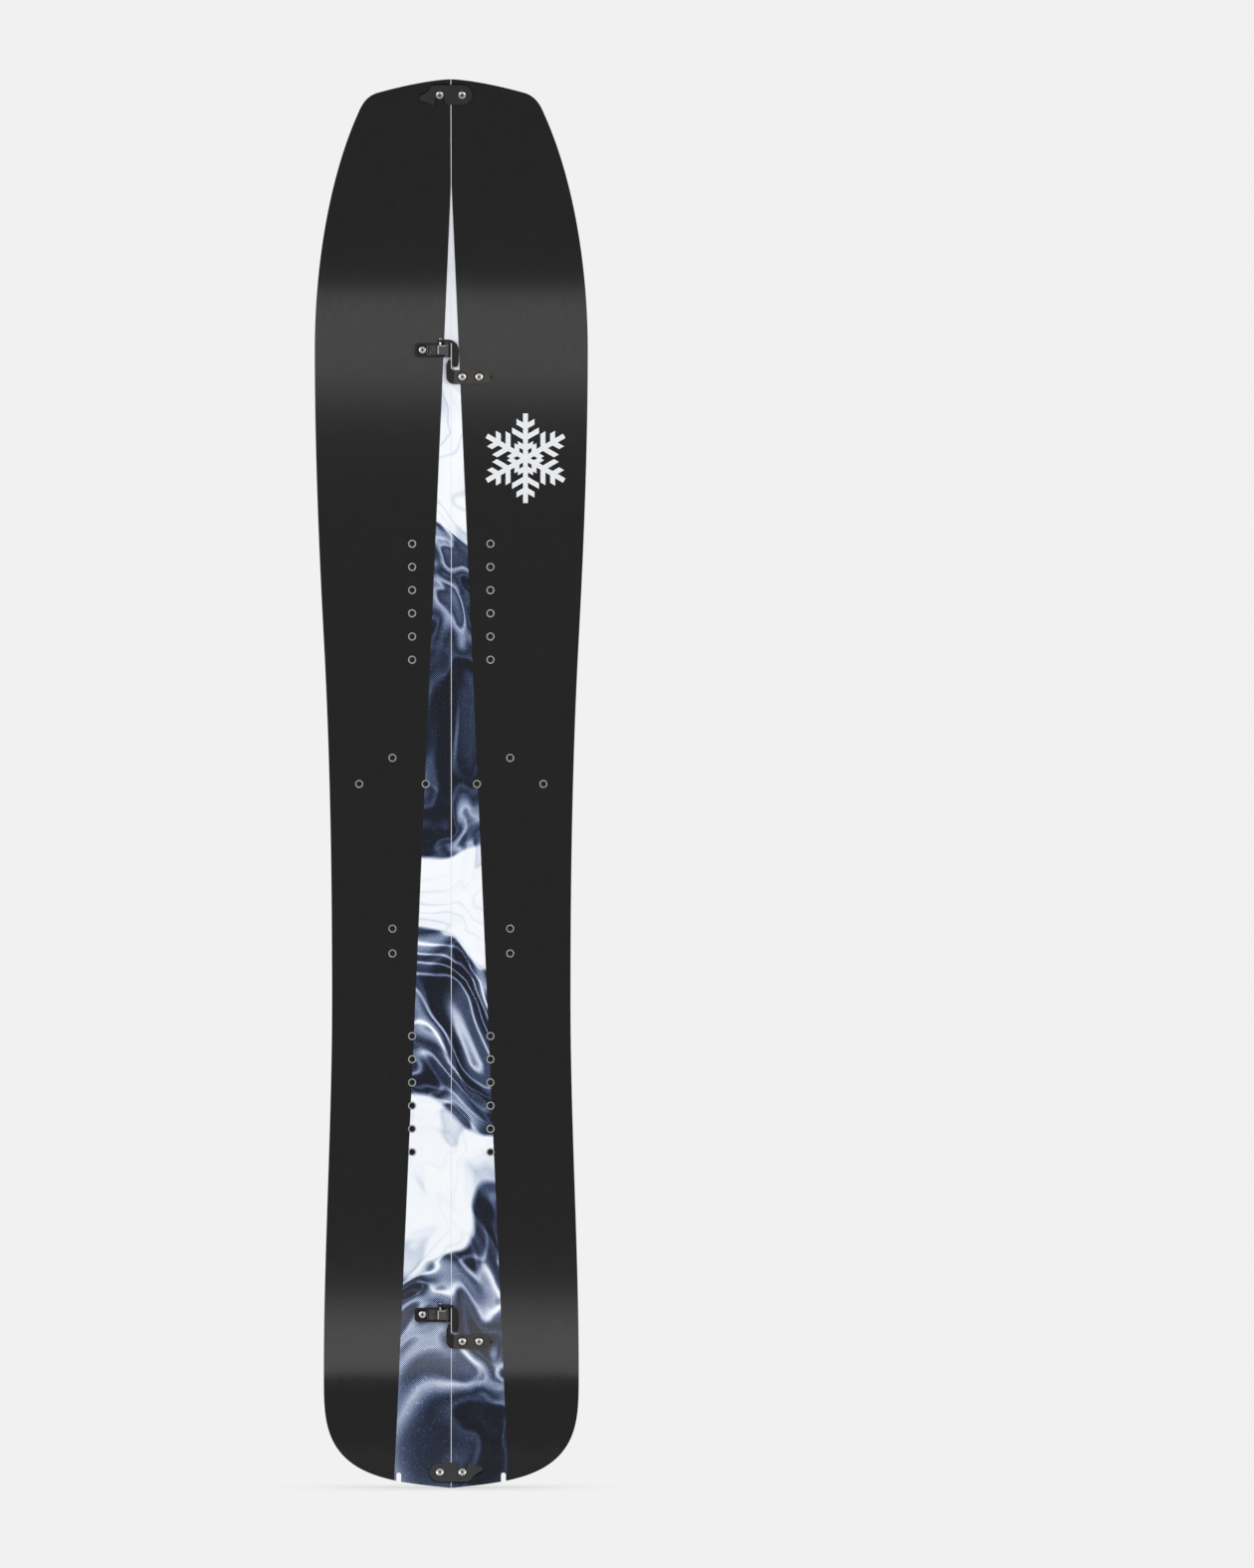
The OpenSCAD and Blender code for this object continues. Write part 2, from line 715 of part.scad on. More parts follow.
module latch_washer(tip) color("silver")
    latch_at(tip) difference() {
        cylinder(h = latch_h0 - 0.1, r = 5.5);
        translate([0, 0, -eps]) cylinder(h = latch_h0 + 1, r = shoulder_r + running);
    }

module pivot_screw(tip) color("silver")
    latch_at(tip) pan_screw(latch_seat, tip_grip, shoulder_r);

module post(tip) color("silver")
    latch_at(tip) translate([post_u, 0, 0]) pan_screw(latch_seat, tip_grip, shoulder_r);

// ---- the nodes -----------------------------------------------------------------------

topsheet(-1);  // left_topsheet
upper_laminate(-1);  // left_upper_laminate
core(-1);  // left_core
outer_sidewall(-1);  // left_outer_sidewall
inner_sidewall(-1);  // left_inner_sidewall
tip_spacer(-1, core_nose_z, half_l);  // left_nose_spacer
tip_spacer(-1, -half_l, core_tail_z);  // left_tail_spacer
lower_laminate(-1);  // left_lower_laminate
base_sheet(-1);  // left_base
outer_edge(-1);  // left_outer_edge
inner_edge(-1);  // left_inner_edge
nose_guard(-1);  // left_nose_guard
tail_guard(-1);  // left_tail_guard
binding_inserts(-1);  // left_binding_inserts
hardware_inserts(-1);  // left_hardware_inserts

topsheet(1);  // right_topsheet
upper_laminate(1);  // right_upper_laminate
core(1);  // right_core
outer_sidewall(1);  // right_outer_sidewall
inner_sidewall(1);  // right_inner_sidewall
tip_spacer(1, core_nose_z, half_l);  // right_nose_spacer
tip_spacer(1, -half_l, core_tail_z);  // right_tail_spacer
lower_laminate(1);  // right_lower_laminate
base_sheet(1);  // right_base
outer_edge(1);  // right_outer_edge
inner_edge(1);  // right_inner_edge
nose_guard(1);  // right_nose_guard
tail_guard(1);  // right_tail_guard
binding_inserts(1);  // right_binding_inserts
hardware_inserts(1);  // right_hardware_inserts

clip_base(front_clip_z);  // front_clip_base
clip_screws(front_clip_z);  // front_clip_screws
lever(front_clip_z);  // front_lever
lever_pin(front_clip_z);  // front_lever_pin
hook(front_clip_z);  // front_hook
hook_pin(front_clip_z);  // front_hook_pin
keeper_claw(front_clip_z - keeper_drop);  // front_keeper_claw
keeper_plate(front_clip_z - keeper_drop);  // front_keeper_plate
keeper_screws(front_clip_z - keeper_drop);  // front_keeper_screws

clip_base(rear_clip_z);  // rear_clip_base
clip_screws(rear_clip_z);  // rear_clip_screws
lever(rear_clip_z);  // rear_lever
lever_pin(rear_clip_z);  // rear_lever_pin
hook(rear_clip_z);  // rear_hook
hook_pin(rear_clip_z);  // rear_hook_pin
keeper_claw(rear_clip_z - keeper_drop);  // rear_keeper_claw
keeper_plate(rear_clip_z - keeper_drop);  // rear_keeper_plate
keeper_screws(rear_clip_z - keeper_drop);  // rear_keeper_screws

tip_latch(1);  // nose_latch
latch_washer(1);  // nose_latch_washer
pivot_screw(1);  // nose_pivot_screw
post(1);  // nose_post
tip_latch(-1);  // tail_latch
latch_washer(-1);  // tail_latch_washer
pivot_screw(-1);  // tail_pivot_screw
post(-1);  // tail_post
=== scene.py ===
"""Splitboard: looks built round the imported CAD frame.

Metres. +Z runs from tail to nose, +X to the right half, and the topsheet faces -Y.
"""

import json
import math

import bmesh
import bpy
import numpy as np
from mathutils import Matrix, Vector
from mathutils.geometry import delaunay_2d_cdt

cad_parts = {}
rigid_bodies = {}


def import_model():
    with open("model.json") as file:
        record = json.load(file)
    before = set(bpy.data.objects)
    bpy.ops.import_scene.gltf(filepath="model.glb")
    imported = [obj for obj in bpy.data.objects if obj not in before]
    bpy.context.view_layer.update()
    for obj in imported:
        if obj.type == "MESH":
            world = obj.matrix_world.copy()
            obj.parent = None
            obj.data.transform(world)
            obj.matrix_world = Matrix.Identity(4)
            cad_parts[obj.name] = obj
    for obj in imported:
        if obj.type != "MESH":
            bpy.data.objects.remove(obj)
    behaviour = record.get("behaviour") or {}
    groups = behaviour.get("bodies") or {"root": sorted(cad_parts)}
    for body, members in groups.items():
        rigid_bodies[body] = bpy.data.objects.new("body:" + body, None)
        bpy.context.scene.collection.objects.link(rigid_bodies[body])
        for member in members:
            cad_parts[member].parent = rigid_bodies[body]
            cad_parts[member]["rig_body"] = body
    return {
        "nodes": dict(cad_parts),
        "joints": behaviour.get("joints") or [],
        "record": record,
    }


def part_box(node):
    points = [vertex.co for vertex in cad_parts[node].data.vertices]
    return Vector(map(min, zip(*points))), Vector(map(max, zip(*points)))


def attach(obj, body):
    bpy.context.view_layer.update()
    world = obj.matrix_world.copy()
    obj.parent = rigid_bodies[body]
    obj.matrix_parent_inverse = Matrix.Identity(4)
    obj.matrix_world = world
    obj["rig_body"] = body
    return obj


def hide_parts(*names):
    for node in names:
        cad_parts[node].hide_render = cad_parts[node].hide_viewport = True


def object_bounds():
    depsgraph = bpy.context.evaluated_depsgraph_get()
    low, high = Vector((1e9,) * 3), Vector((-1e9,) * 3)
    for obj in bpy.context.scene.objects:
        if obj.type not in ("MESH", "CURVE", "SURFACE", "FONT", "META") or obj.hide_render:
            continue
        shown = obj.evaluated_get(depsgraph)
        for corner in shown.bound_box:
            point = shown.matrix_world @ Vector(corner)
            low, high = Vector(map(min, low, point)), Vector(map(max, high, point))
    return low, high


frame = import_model()
cad_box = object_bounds()

MM = 0.001
SLOTS = {part["node"]: part["material_slot"] for part in frame["record"]["subparts"]}
JOINTS = {joint["name"]: joint for joint in frame["joints"]}

# ---- sizes that the frame holds -------------------------------------------------

deck_low, deck_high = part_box("right_topsheet")
HALF_L = deck_high.z
NOSE_X = deck_high.x
SEAM_X = deck_low.x
SKIN_T = deck_high.y
CORE_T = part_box("right_core")[1].y - 2 * SKIN_T
BASE_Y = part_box("right_base")[1].y
NOSE_ANGLE = math.asin(JOINTS["nose_latch_turn"]["axis"][2])
TAIL_ANGLE = -math.asin(JOINTS["tail_latch_turn"]["axis"][2])

# ---- plan of one half -------------------------------------------------------------

CROWN_X = 80 * MM
CROWN_DROP = 14.6 * MM
CROWN_POWER = 1.5
NOSE_L = 295 * MM
NOSE_SIDE_L = 352 * MM
CORNER_Z = HALF_L - 32 * MM
TAIL_X = 139.7 * MM
TAIL_L = 125 * MM
TAIL_POWER = 3.5
TAIL_V = 0.1
# Sidecut stations: (place along the board, half-width, slope)
SIDECUT = (
    (HALF_L - NOSE_L, NOSE_X, 0.0),
    (156 * MM, 139.6 * MM, 0.054),
    (-237 * MM, 130.7 * MM, 0.0),
    (TAIL_L - HALF_L, TAIL_X, 0.0),
)


def shares(count):
    return np.linspace(0.0, 1.0, count + 1)


def crown_z(x):
    return HALF_L - CROWN_DROP * (x / CROWN_X) ** CROWN_POWER


def nose_side(angle):
    return np.stack([NOSE_X * np.cos(angle), HALF_L - NOSE_L + NOSE_SIDE_L * np.sin(angle)], -1)


def meet(p, d, q, e):
    """Where the line from p along d meets the line from q along e."""
    along = ((q - p)[0] * e[1] - (q - p)[1] * e[0]) / (d[0] * e[1] - d[1] * e[0])
    return p + d * along


def corner_curve(angle):
    """Rounded corner between the crown and the side of the nose."""
    start = np.array([CROWN_X, crown_z(CROWN_X)])
    start_dir = np.array([1.0, -CROWN_DROP * CROWN_POWER / CROWN_X])
    end = nose_side(angle)
    end_dir = np.array([-NOSE_X * math.sin(angle), NOSE_SIDE_L * math.cos(angle)])
    middle = meet(start, start_dir, end, end_dir)
    t = shares(14)[:, None]
    return start * (1 - t) ** 2 + middle * 2 * t * (1 - t) + end * t**2


def sidecut_curve(a, b):
    """Cubic curve between two sidecut stations."""
    t = shares(32)
    run = b[0] - a[0]
    x = a[1] * (2 * t**3 - 3 * t**2 + 1) + run * a[2] * (t**3 - 2 * t**2 + t)
    x += b[1] * (3 * t**2 - 2 * t**3) + run * b[2] * (t**3 - t**2)
    return np.stack([x, a[0] + run * t], -1)


def tail_curve():
    """Superellipse laid over a shallow V."""
    angle = math.pi / 2 * (1 - shares(72))
    x = np.maximum(TAIL_X * np.sin(angle) ** (2 / TAIL_POWER), SEAM_X)
    drop = (TAIL_L - TAIL_V * TAIL_X) * (1 - np.cos(angle) ** (2 / TAIL_POWER))
    return np.stack([x, TAIL_V * x - HALF_L + drop], -1)


def outline():
    """Outer edge of the right half, from the nose round to the tail."""
    corner_angle = math.asin((CORNER_Z - HALF_L + NOSE_L) / NOSE_SIDE_L)
    x = SEAM_X + (CROWN_X - SEAM_X) * shares(24)
    curves = [np.stack([x, crown_z(x)], -1), corner_curve(corner_angle)]
    curves.append(nose_side(corner_angle * (1 - shares(48))))
    curves += [sidecut_curve(a, b) for a, b in zip(SIDECUT, SIDECUT[1:])]
    curves.append(tail_curve())
    return np.concatenate([curves[0]] + [curve[1:] for curve in curves[1:]])


def inset(loop, distance):
    """Closed clockwise loop moved inwards, with mitred corners."""
    ahead = np.roll(loop, -1, 0) - loop
    ahead /= np.linalg.norm(ahead, axis=1)[:, None]
    after = np.stack([ahead[:, 1], -ahead[:, 0]], -1)
    before = np.roll(after, 1, 0)
    turn = np.maximum(1 + (before * after).sum(1), 0.3)[:, None]
    return loop + distance * (before + after) / turn


def trim(loop, keep, fill=()):
    """Part of a closed loop where keep is positive. fill bridges the gap that is left."""
    out = []
    for a, b in zip(loop, np.roll(loop, -1, 0)):
        if keep(a) > 0:
            out.append(a)
        if (keep(a) > 0) != (keep(b) > 0):
            lo, hi = a, b
            for _ in range(24):
                middle = (lo + hi) / 2
                if (keep(middle) > 0) == (keep(a) > 0):
                    lo = middle
                else:
                    hi = middle
            out.append(lo)
            if keep(a) > 0:
                out.extend(fill)
    return np.array(out)


def between(loop, low, high):
    """Part of a closed loop between two places along the board."""
    return trim(trim(loop, lambda p: p[1] - low), lambda p: high - p[1])


def strip(width, low, high):
    """Band of the given width along the outer edge."""
    outer = np.concatenate([outline(), [[SEAM_X, HALF_L / 2]]])
    inner = inset(outer, width)
    return between(np.concatenate([outer[:-1], inner[-2::-1]]), low, high)


# Slot for the clip of a climbing skin
NOTCH_X = 57.3 * MM
NOTCH_R = 2.65 * MM
NOTCH_Z = 13.95 * MM - HALF_L
# Metal guards let into the base at both ends
GUARD_L = 18.6 * MM
GUARD_HUMP = 6.3 * MM
GUARD_HUMP_X = 40 * MM
NOSE_GUARD_W = 27.5 * MM
NOSE_GUARD_L = 28.5 * MM
EDGE_W = 2.2 * MM
OUTER_WALL_W = 8 * MM
INNER_WALL_W = 6 * MM
CORE_NOSE_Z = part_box("right_core")[1].z
CORE_TAIL_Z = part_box("right_core")[0].z


def outside_notch(p):
    if p[1] < NOTCH_Z:
        return abs(p[0] - NOTCH_X) - NOTCH_R
    return math.hypot(p[0] - NOTCH_X, p[1] - NOTCH_Z) - NOTCH_R


def notched(loop):
    angle = math.pi * shares(16)
    rim = np.stack([NOTCH_X + NOTCH_R * np.cos(angle), NOTCH_Z + NOTCH_R * np.sin(angle)], -1)
    return trim(loop, outside_notch, rim)


def guard_z(x):
    """Front line of the tail guard."""
    hump = (1 + np.cos(math.pi * np.minimum(x / GUARD_HUMP_X, 1))) / 2
    return GUARD_L - HALF_L + GUARD_HUMP * hump


def guard_front(low_x):
    x = np.linspace(GUARD_HUMP_X, low_x, 22)[:-1]
    return np.stack([x, guard_z(x)], -1)


def in_nose_guard(p):
    return 1 - math.hypot(p[0] / NOSE_GUARD_W, (p[1] - HALF_L) / NOSE_GUARD_L)


def nose_guard_rim():
    angle = math.pi / 2 * shares(20)[1:-3]
    rim = np.stack([NOSE_GUARD_W * np.sin(angle), HALF_L - NOSE_GUARD_L * np.cos(angle)], -1)
    return rim[rim[:, 0] > SEAM_X + EDGE_W + 0.5 * MM]


# ---- side profile --------------------------------------------------------------------

NOSE_BEND = 284 * MM
TAIL_BEND = 148 * MM
BEND_POWER = 1.6
TIP_FLAT = 45 * MM
TIP_CORE_T = 1.7 * MM

# A depth below the topsheet is (plain part, share of the core thickness)
DECK = (0.0, 0)
UPPER_GLASS = (SKIN_T, 0)
CORE_TOP = (2 * SKIN_T, 0)
CORE_BOTTOM = (2 * SKIN_T, 1)
LOWER_GLASS = (3 * SKIN_T, 1)
BASE_FACE = (BASE_Y - CORE_T, 1)


def bend_rise(run, bend, angle):
    """Rise over a run from where the bend starts, its slope growing as a power of the run."""
    curve_run = bend - TIP_FLAT
    run = np.maximum(run, 0.0)
    curve = np.minimum(run, curve_run)
    top = curve_run * math.tan(angle) / (BEND_POWER + 1)
    return top * (curve / curve_run) ** (BEND_POWER + 1) + (run - curve) * math.tan(angle)


def deck_y(z):
    nose = bend_rise(z - HALF_L + NOSE_BEND, NOSE_BEND, NOSE_ANGLE)
    return -nose - bend_rise(-z - HALF_L + TAIL_BEND, TAIL_BEND, TAIL_ANGLE)


def core_at(z):
    nose = 1 - (HALF_L - z) / NOSE_BEND
    tail = 1 - (HALF_L + z) / TAIL_BEND
    return CORE_T - (CORE_T - TIP_CORE_T) * np.maximum(0.0, np.maximum(nose, tail))


def on_surface(plan, depth):
    """Points of a plan loop laid on the surface at a depth."""
    y = deck_y(plan[:, 1]) + depth[0] + depth[1] * core_at(plan[:, 1])
    return np.stack([plan[:, 0], y, plan[:, 1]], -1)


def deck_frame(x, z):
    """Frame of a spot on the topsheet: x across, y along the board, z out of the deck."""
    tilt = NOSE_ANGLE if z > HALF_L - TIP_FLAT else -TAIL_ANGLE if z < TIP_FLAT - HALF_L else 0.0
    turn = Matrix.Rotation(math.pi / 2 + tilt, 4, "X")
    return Matrix.Translation((x, float(deck_y(z)), z)) @ turn


# ---- mesh helpers ----------------------------------------------------------------------

RIM_STEP = 6 * MM
GRID_STEP = 11 * MM
SMOOTH_ANGLE = math.radians(32)


def dense(loop):
    """Closed loop with its long stretches split."""
    out = []
    for a, b in zip(loop, np.roll(loop, -1, 0)):
        length = np.linalg.norm(b - a)
        if length > 1e-7:
            out += [a + (b - a) * t for t in shares(math.ceil(length / RIM_STEP))[:-1]]
    return np.array(out)


def circle(x, z, radius, count=40):
    angle = 2 * math.pi * shares(count)[:-1]
    return np.stack([x + radius * np.cos(angle), z + radius * np.sin(angle)], -1)


def inside(points, loops):
    """Whether each point lies inside the loops, by counting crossings."""
    odd = np.zeros(len(points), bool)
    for loop in loops:
        a, b = loop, np.roll(loop, -1, 0)
        rise = np.where(a[:, 1] == b[:, 1], 1.0, b[:, 1] - a[:, 1])
        px, pz = points[:, :1], points[:, 1:]
        level = (a[:, 1] > pz) != (b[:, 1] > pz)
        left = px < a[:, 0] + (b[:, 0] - a[:, 0]) * (pz - a[:, 1]) / rise
        odd ^= (level & left).sum(1) % 2 == 1
    return odd


def grid_points(loops):
    """Grid of points inside the loops and clear of them, so that wide faces can curve."""
    low, high = loops[0].min(0), loops[0].max(0)
    x, z = np.meshgrid(np.arange(low[0], high[0], GRID_STEP), np.arange(low[1], high[1], GRID_STEP))
    points = np.stack([x.ravel(), z.ravel()], -1)
    points = points[inside(points, loops)]
    rims = np.concatenate(loops)
    nearest = np.array([np.linalg.norm(rims - p, axis=1).min() for p in points])
    return points[nearest > RIM_STEP * 0.7] if len(points) else points


def triangles(loops, inner):
    """Triangles over the area between the loops, as indices into loops + inner."""
    points = np.concatenate(loops + [inner])
    edges, start = [], 0
    for loop in loops:
        count = len(loop)
        edges += [(start + i, start + (i + 1) % count) for i in range(count)]
        start += count
    within = 1
    flat = [Vector(p) for p in points]
    found, _, faces, origin, _, _ = delaunay_2d_cdt(flat, edges, [], within, 1e-9)
    centres = np.array([np.mean([found[i] for i in face], axis=0) for face in faces])
    in_hole = inside(centres, loops[1:])
    return [[origin[i][0] for i in face] for face, drop in zip(faces, in_hole) if not drop]


def tidy_mesh(name, vertices, faces, finish_numbers=None):
    """Mesh of points and faces, each face with the number of its finish."""
    bm = bmesh.new()
    made = [bm.verts.new(v) for v in vertices]
    for number, face in zip(finish_numbers or [0] * len(faces), faces):
        bm.faces.new([made[i] for i in face]).material_index = number
    return finished_mesh(name, bm)


def finished_mesh(name, bm):
    """Mesh of a bmesh, its faces turned outwards and its shading split at hard edges."""
    bmesh.ops.recalc_face_normals(bm, faces=bm.faces)
    mesh = bpy.data.meshes.new(name)
    bm.to_mesh(mesh)
    bm.free()
    mesh.polygons.foreach_set("use_smooth", [True] * len(mesh.polygons))
    mesh.set_sharp_from_angle(angle=SMOOTH_ANGLE)
    return mesh


def slab(name, side, loop, top, bottom, holes=(), soften=(0.0, 0.0)):
    """Closed solid of a plan loop between two depths, its rims chamfered by soften (top, bottom)."""
    loop = dense(loop)
    loops = [loop] + list(holes)
    inner = grid_points(loops)
    cap = triangles(loops, inner)
    rings = [(0.0, bottom), (0.0, top)]
    if soften[1]:
        rings[:1] = [(soften[1], bottom), (0.0, (bottom[0] - soften[1], bottom[1]))]
    if soften[0]:
        rings[-1:] = [(0.0, (top[0] + soften[0], top[1])), (soften[0], top)]
    still = np.concatenate(list(holes) + [inner])
    count = len(loop)
    blocks = [on_surface(inset(loop, moved), depth) for moved, depth in rings[1:-1]]
    ends = [rings[0], rings[-1]]
    blocks += [on_surface(np.concatenate([inset(loop, m), still]), depth) for m, depth in ends]
    starts = np.cumsum([0] + [len(block) for block in blocks])
    low, high = int(starts[-3]), int(starts[-2])
    order = [low] + [int(s) for s in starts[: len(rings) - 2]] + [high]
    faces = [[low + i for i in face] for face in cap] + [[high + i for i in face] for face in cap]
    walls = [(a, b, count) for a, b in zip(order, order[1:])]
    offset = count
    for hole in holes:
        walls.append((low + offset, high + offset, len(hole)))
        offset += len(hole)
    for a, b, length in walls:
        for i in range(length):
            j = (i + 1) % length
            faces.append([a + i, a + j, b + j, b + i])
    points = np.concatenate(blocks)
    points[:, 0] *= side
    return tidy_mesh(name, points, faces)


ROUND = 48


def spun(rings, count=ROUND, dark=0):
    """Rings (radius, height[, lobe]) spun about z and capped.

    The last bands, as many as dark says, and the last cap take the second finish, which paints shade
    into a recess.
    """
    angle = 2 * math.pi * shares(count)[:-1]
    vertices, faces = [], []
    for ring in rings:
        lobe = ring[2] if len(ring) > 2 else 0.0
        radius = ring[0] * (1 + lobe * np.cos(4 * angle))
        vertices += [Vector((r * math.cos(a), r * math.sin(a), ring[1])) for r, a in zip(radius, angle)]
    for k in range(len(rings) - 1):
        for i in range(count):
            j = (i + 1) % count
            faces.append([k * count + i, k * count + j, (k + 1) * count + j, (k + 1) * count + i])
    faces.append(list(range(count)))
    faces.append([(len(rings) - 1) * count + i for i in range(count)])
    bands = len(rings) - 1
    numbers = [int(k >= bands - dark) for k in range(bands) for _ in range(count)] + [0, int(dark > 0)]
    return vertices, faces, numbers


def gathered(name, parts):
    """One mesh of several (matrix, (vertices, faces, finish numbers))."""
    vertices, faces, numbers = [], [], []
    for matrix, (points, around, inked) in parts:
        start = len(vertices)
        vertices += [matrix @ p for p in points]
        faces += [[start + i for i in face] for face in around]
        numbers += inked
    return tidy_mesh(name, vertices, faces, numbers)


def spots(node):
    """Centre (x, z) of each separate solid of a CAD node on the flat deck."""
    bm = bmesh.new()
    bm.from_mesh(frame["nodes"][node].data)
    bmesh.ops.remove_doubles(bm, verts=bm.verts, dist=0.001 * MM)
    seen, centres = set(), []
    for first in bm.verts:
        if first in seen:
            continue
        group, queue = [], [first]
        seen.add(first)
        while queue:
            vert = queue.pop()
            group.append(vert.co)
            for edge in vert.link_edges:
                other = edge.other_vert(vert)
                if other not in seen:
                    seen.add(other)
                    queue.append(other)
        low = np.min(group, axis=0)
        high = np.max(group, axis=0)
        centres.append(((low[0] + high[0]) / 2, (low[2] + high[2]) / 2))
    bm.free()
    return sorted(centres)


def rounded(node, width, turns=3):
    """The CAD node's shape with its hard edges rounded, as a bmesh."""
    bm = bmesh.new()
    bm.from_mesh(frame["nodes"][node].data)
    bmesh.ops.remove_doubles(bm, verts=bm.verts, dist=0.001 * MM)
    bmesh.ops.dissolve_limit(bm, angle_limit=math.radians(1), verts=bm.verts, edges=bm.edges)
    hard = [e for e in bm.edges if e.is_manifold and e.calc_face_angle(0.0) > SMOOTH_ANGLE]
    bmesh.ops.bevel(bm, geom=hard, offset=width, offset_type="OFFSET", segments=turns,
                    profile=0.5, affect="EDGES", clamp_overlap=True)
    bmesh.ops.dissolve_degenerate(bm, dist=0.001 * MM, edges=bm.edges)
    return bm


def show(mesh, node, *finishes):
    """Shows a mesh in place of a CAD node, on the same body."""
    for finish in finishes:
        mesh.materials.append(finish)
    piece = bpy.data.objects.new(mesh.name, mesh)
    bpy.context.scene.collection.objects.link(piece)
    weighted = piece.modifiers.new("weighted_normals", "WEIGHTED_NORMAL")
    weighted.keep_sharp = True
    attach(piece, frame["nodes"][node]["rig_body"])
    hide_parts(node)
    return piece


# ---- finishes ----------------------------------------------------------------------------


def ink(red, green, blue):
    """Linear colour of an sRGB one."""
    values = [v / 255 for v in (red, green, blue)]
    return [v / 12.92 if v < 0.04045 else ((v + 0.055) / 1.055) ** 2.4 for v in values] + [1.0]


class Finish:
    """A node material, wired in few words."""

    def __init__(self, name):
        self.material = bpy.data.materials.new(name)
        self.material.use_nodes = True
        self.tree = self.material.node_tree
        self.tree.nodes.clear()
        self.place = self.node("TexCoord").outputs["Object"]
        split = self.node("SeparateXYZ", {"Vector": self.place})
        self.x, self.y, self.z = split.outputs

    def put(self, socket, value):
        if isinstance(value, bpy.types.NodeSocket):
            self.tree.links.new(value, socket)
        else:
            socket.default_value = value

    def node(self, kind, inputs=None, **settings):
        made = self.tree.nodes.new("ShaderNode" + kind)
        for key, value in settings.items():
            setattr(made, key, value)
        for key, value in (inputs or {}).items():
            self.put(made.inputs[key], value)
        return made

    def math(self, operation, *values, clamp=False):
        made = self.node("Math", dict(enumerate(values)), operation=operation, use_clamp=clamp)
        return made.outputs[0]

    def vector(self, operation, *values):
        return self.node("VectorMath", dict(enumerate(values)), operation=operation).outputs[0]

    def mix(self, factor, a, b, blend="MIX"):
        return self.node("Mix", {0: factor, 6: a, 7: b}, data_type="RGBA", blend_type=blend).outputs[2]

    def blend(self, factor, a, b):
        """Number between a and b."""
        return self.node("Mix", {0: factor, 2: a, 3: b}, data_type="FLOAT").outputs[0]

    def noise(self, scale, detail=3.0, place=None, output="Fac"):
        inputs = {"Vector": place or self.place, "Scale": scale, "Detail": detail}
        return self.node("TexNoise", inputs).outputs[output]

    def ramp(self, value, *stops):
        """Grey or colour by value, from (position, grey or colour) stops."""
        made = self.node("ValToRGB", {"Fac": value})
        elements = made.color_ramp.elements
        while len(elements) < len(stops):
            elements.new(0.5)
        for element, (position, colour) in zip(elements, stops):
            element.position = position
            element.color = colour if isinstance(colour, list) else (colour, colour, colour, 1)
        return made.outputs["Color"]

    def stretched(self, *scale):
        return self.vector("MULTIPLY", self.place, scale)

    def edges(self, radius):
        """1 along convex and concave edges, 0 on open faces."""
        bevel = self.node("Bevel", {"Radius": radius}, samples=4).outputs["Normal"]
        normal = self.node("NewGeometry").outputs["Normal"]
        same = self.node("VectorMath", {0: bevel, 1: normal}, operation="DOT_PRODUCT").outputs["Value"]
        return self.math("MULTIPLY", self.math("SUBTRACT", 1.0, same), 4.0, clamp=True)

    def surface(self, colour, roughness, metallic=0.0, height=None, bump=0.0, specular=0.5):
        inputs = {"Base Color": colour, "Roughness": roughness, "Metallic": metallic,
                  "Specular IOR Level": specular}
        if height is not None:
            raised = self.node("Bump", {"Height": height, "Distance": bump})
            inputs["Normal"] = raised.outputs["Normal"]
        shader = self.node("BsdfPrincipled", inputs)
        output = self.node("OutputMaterial")
        self.tree.links.new(shader.outputs[0], output.inputs["Surface"])
        return self.material


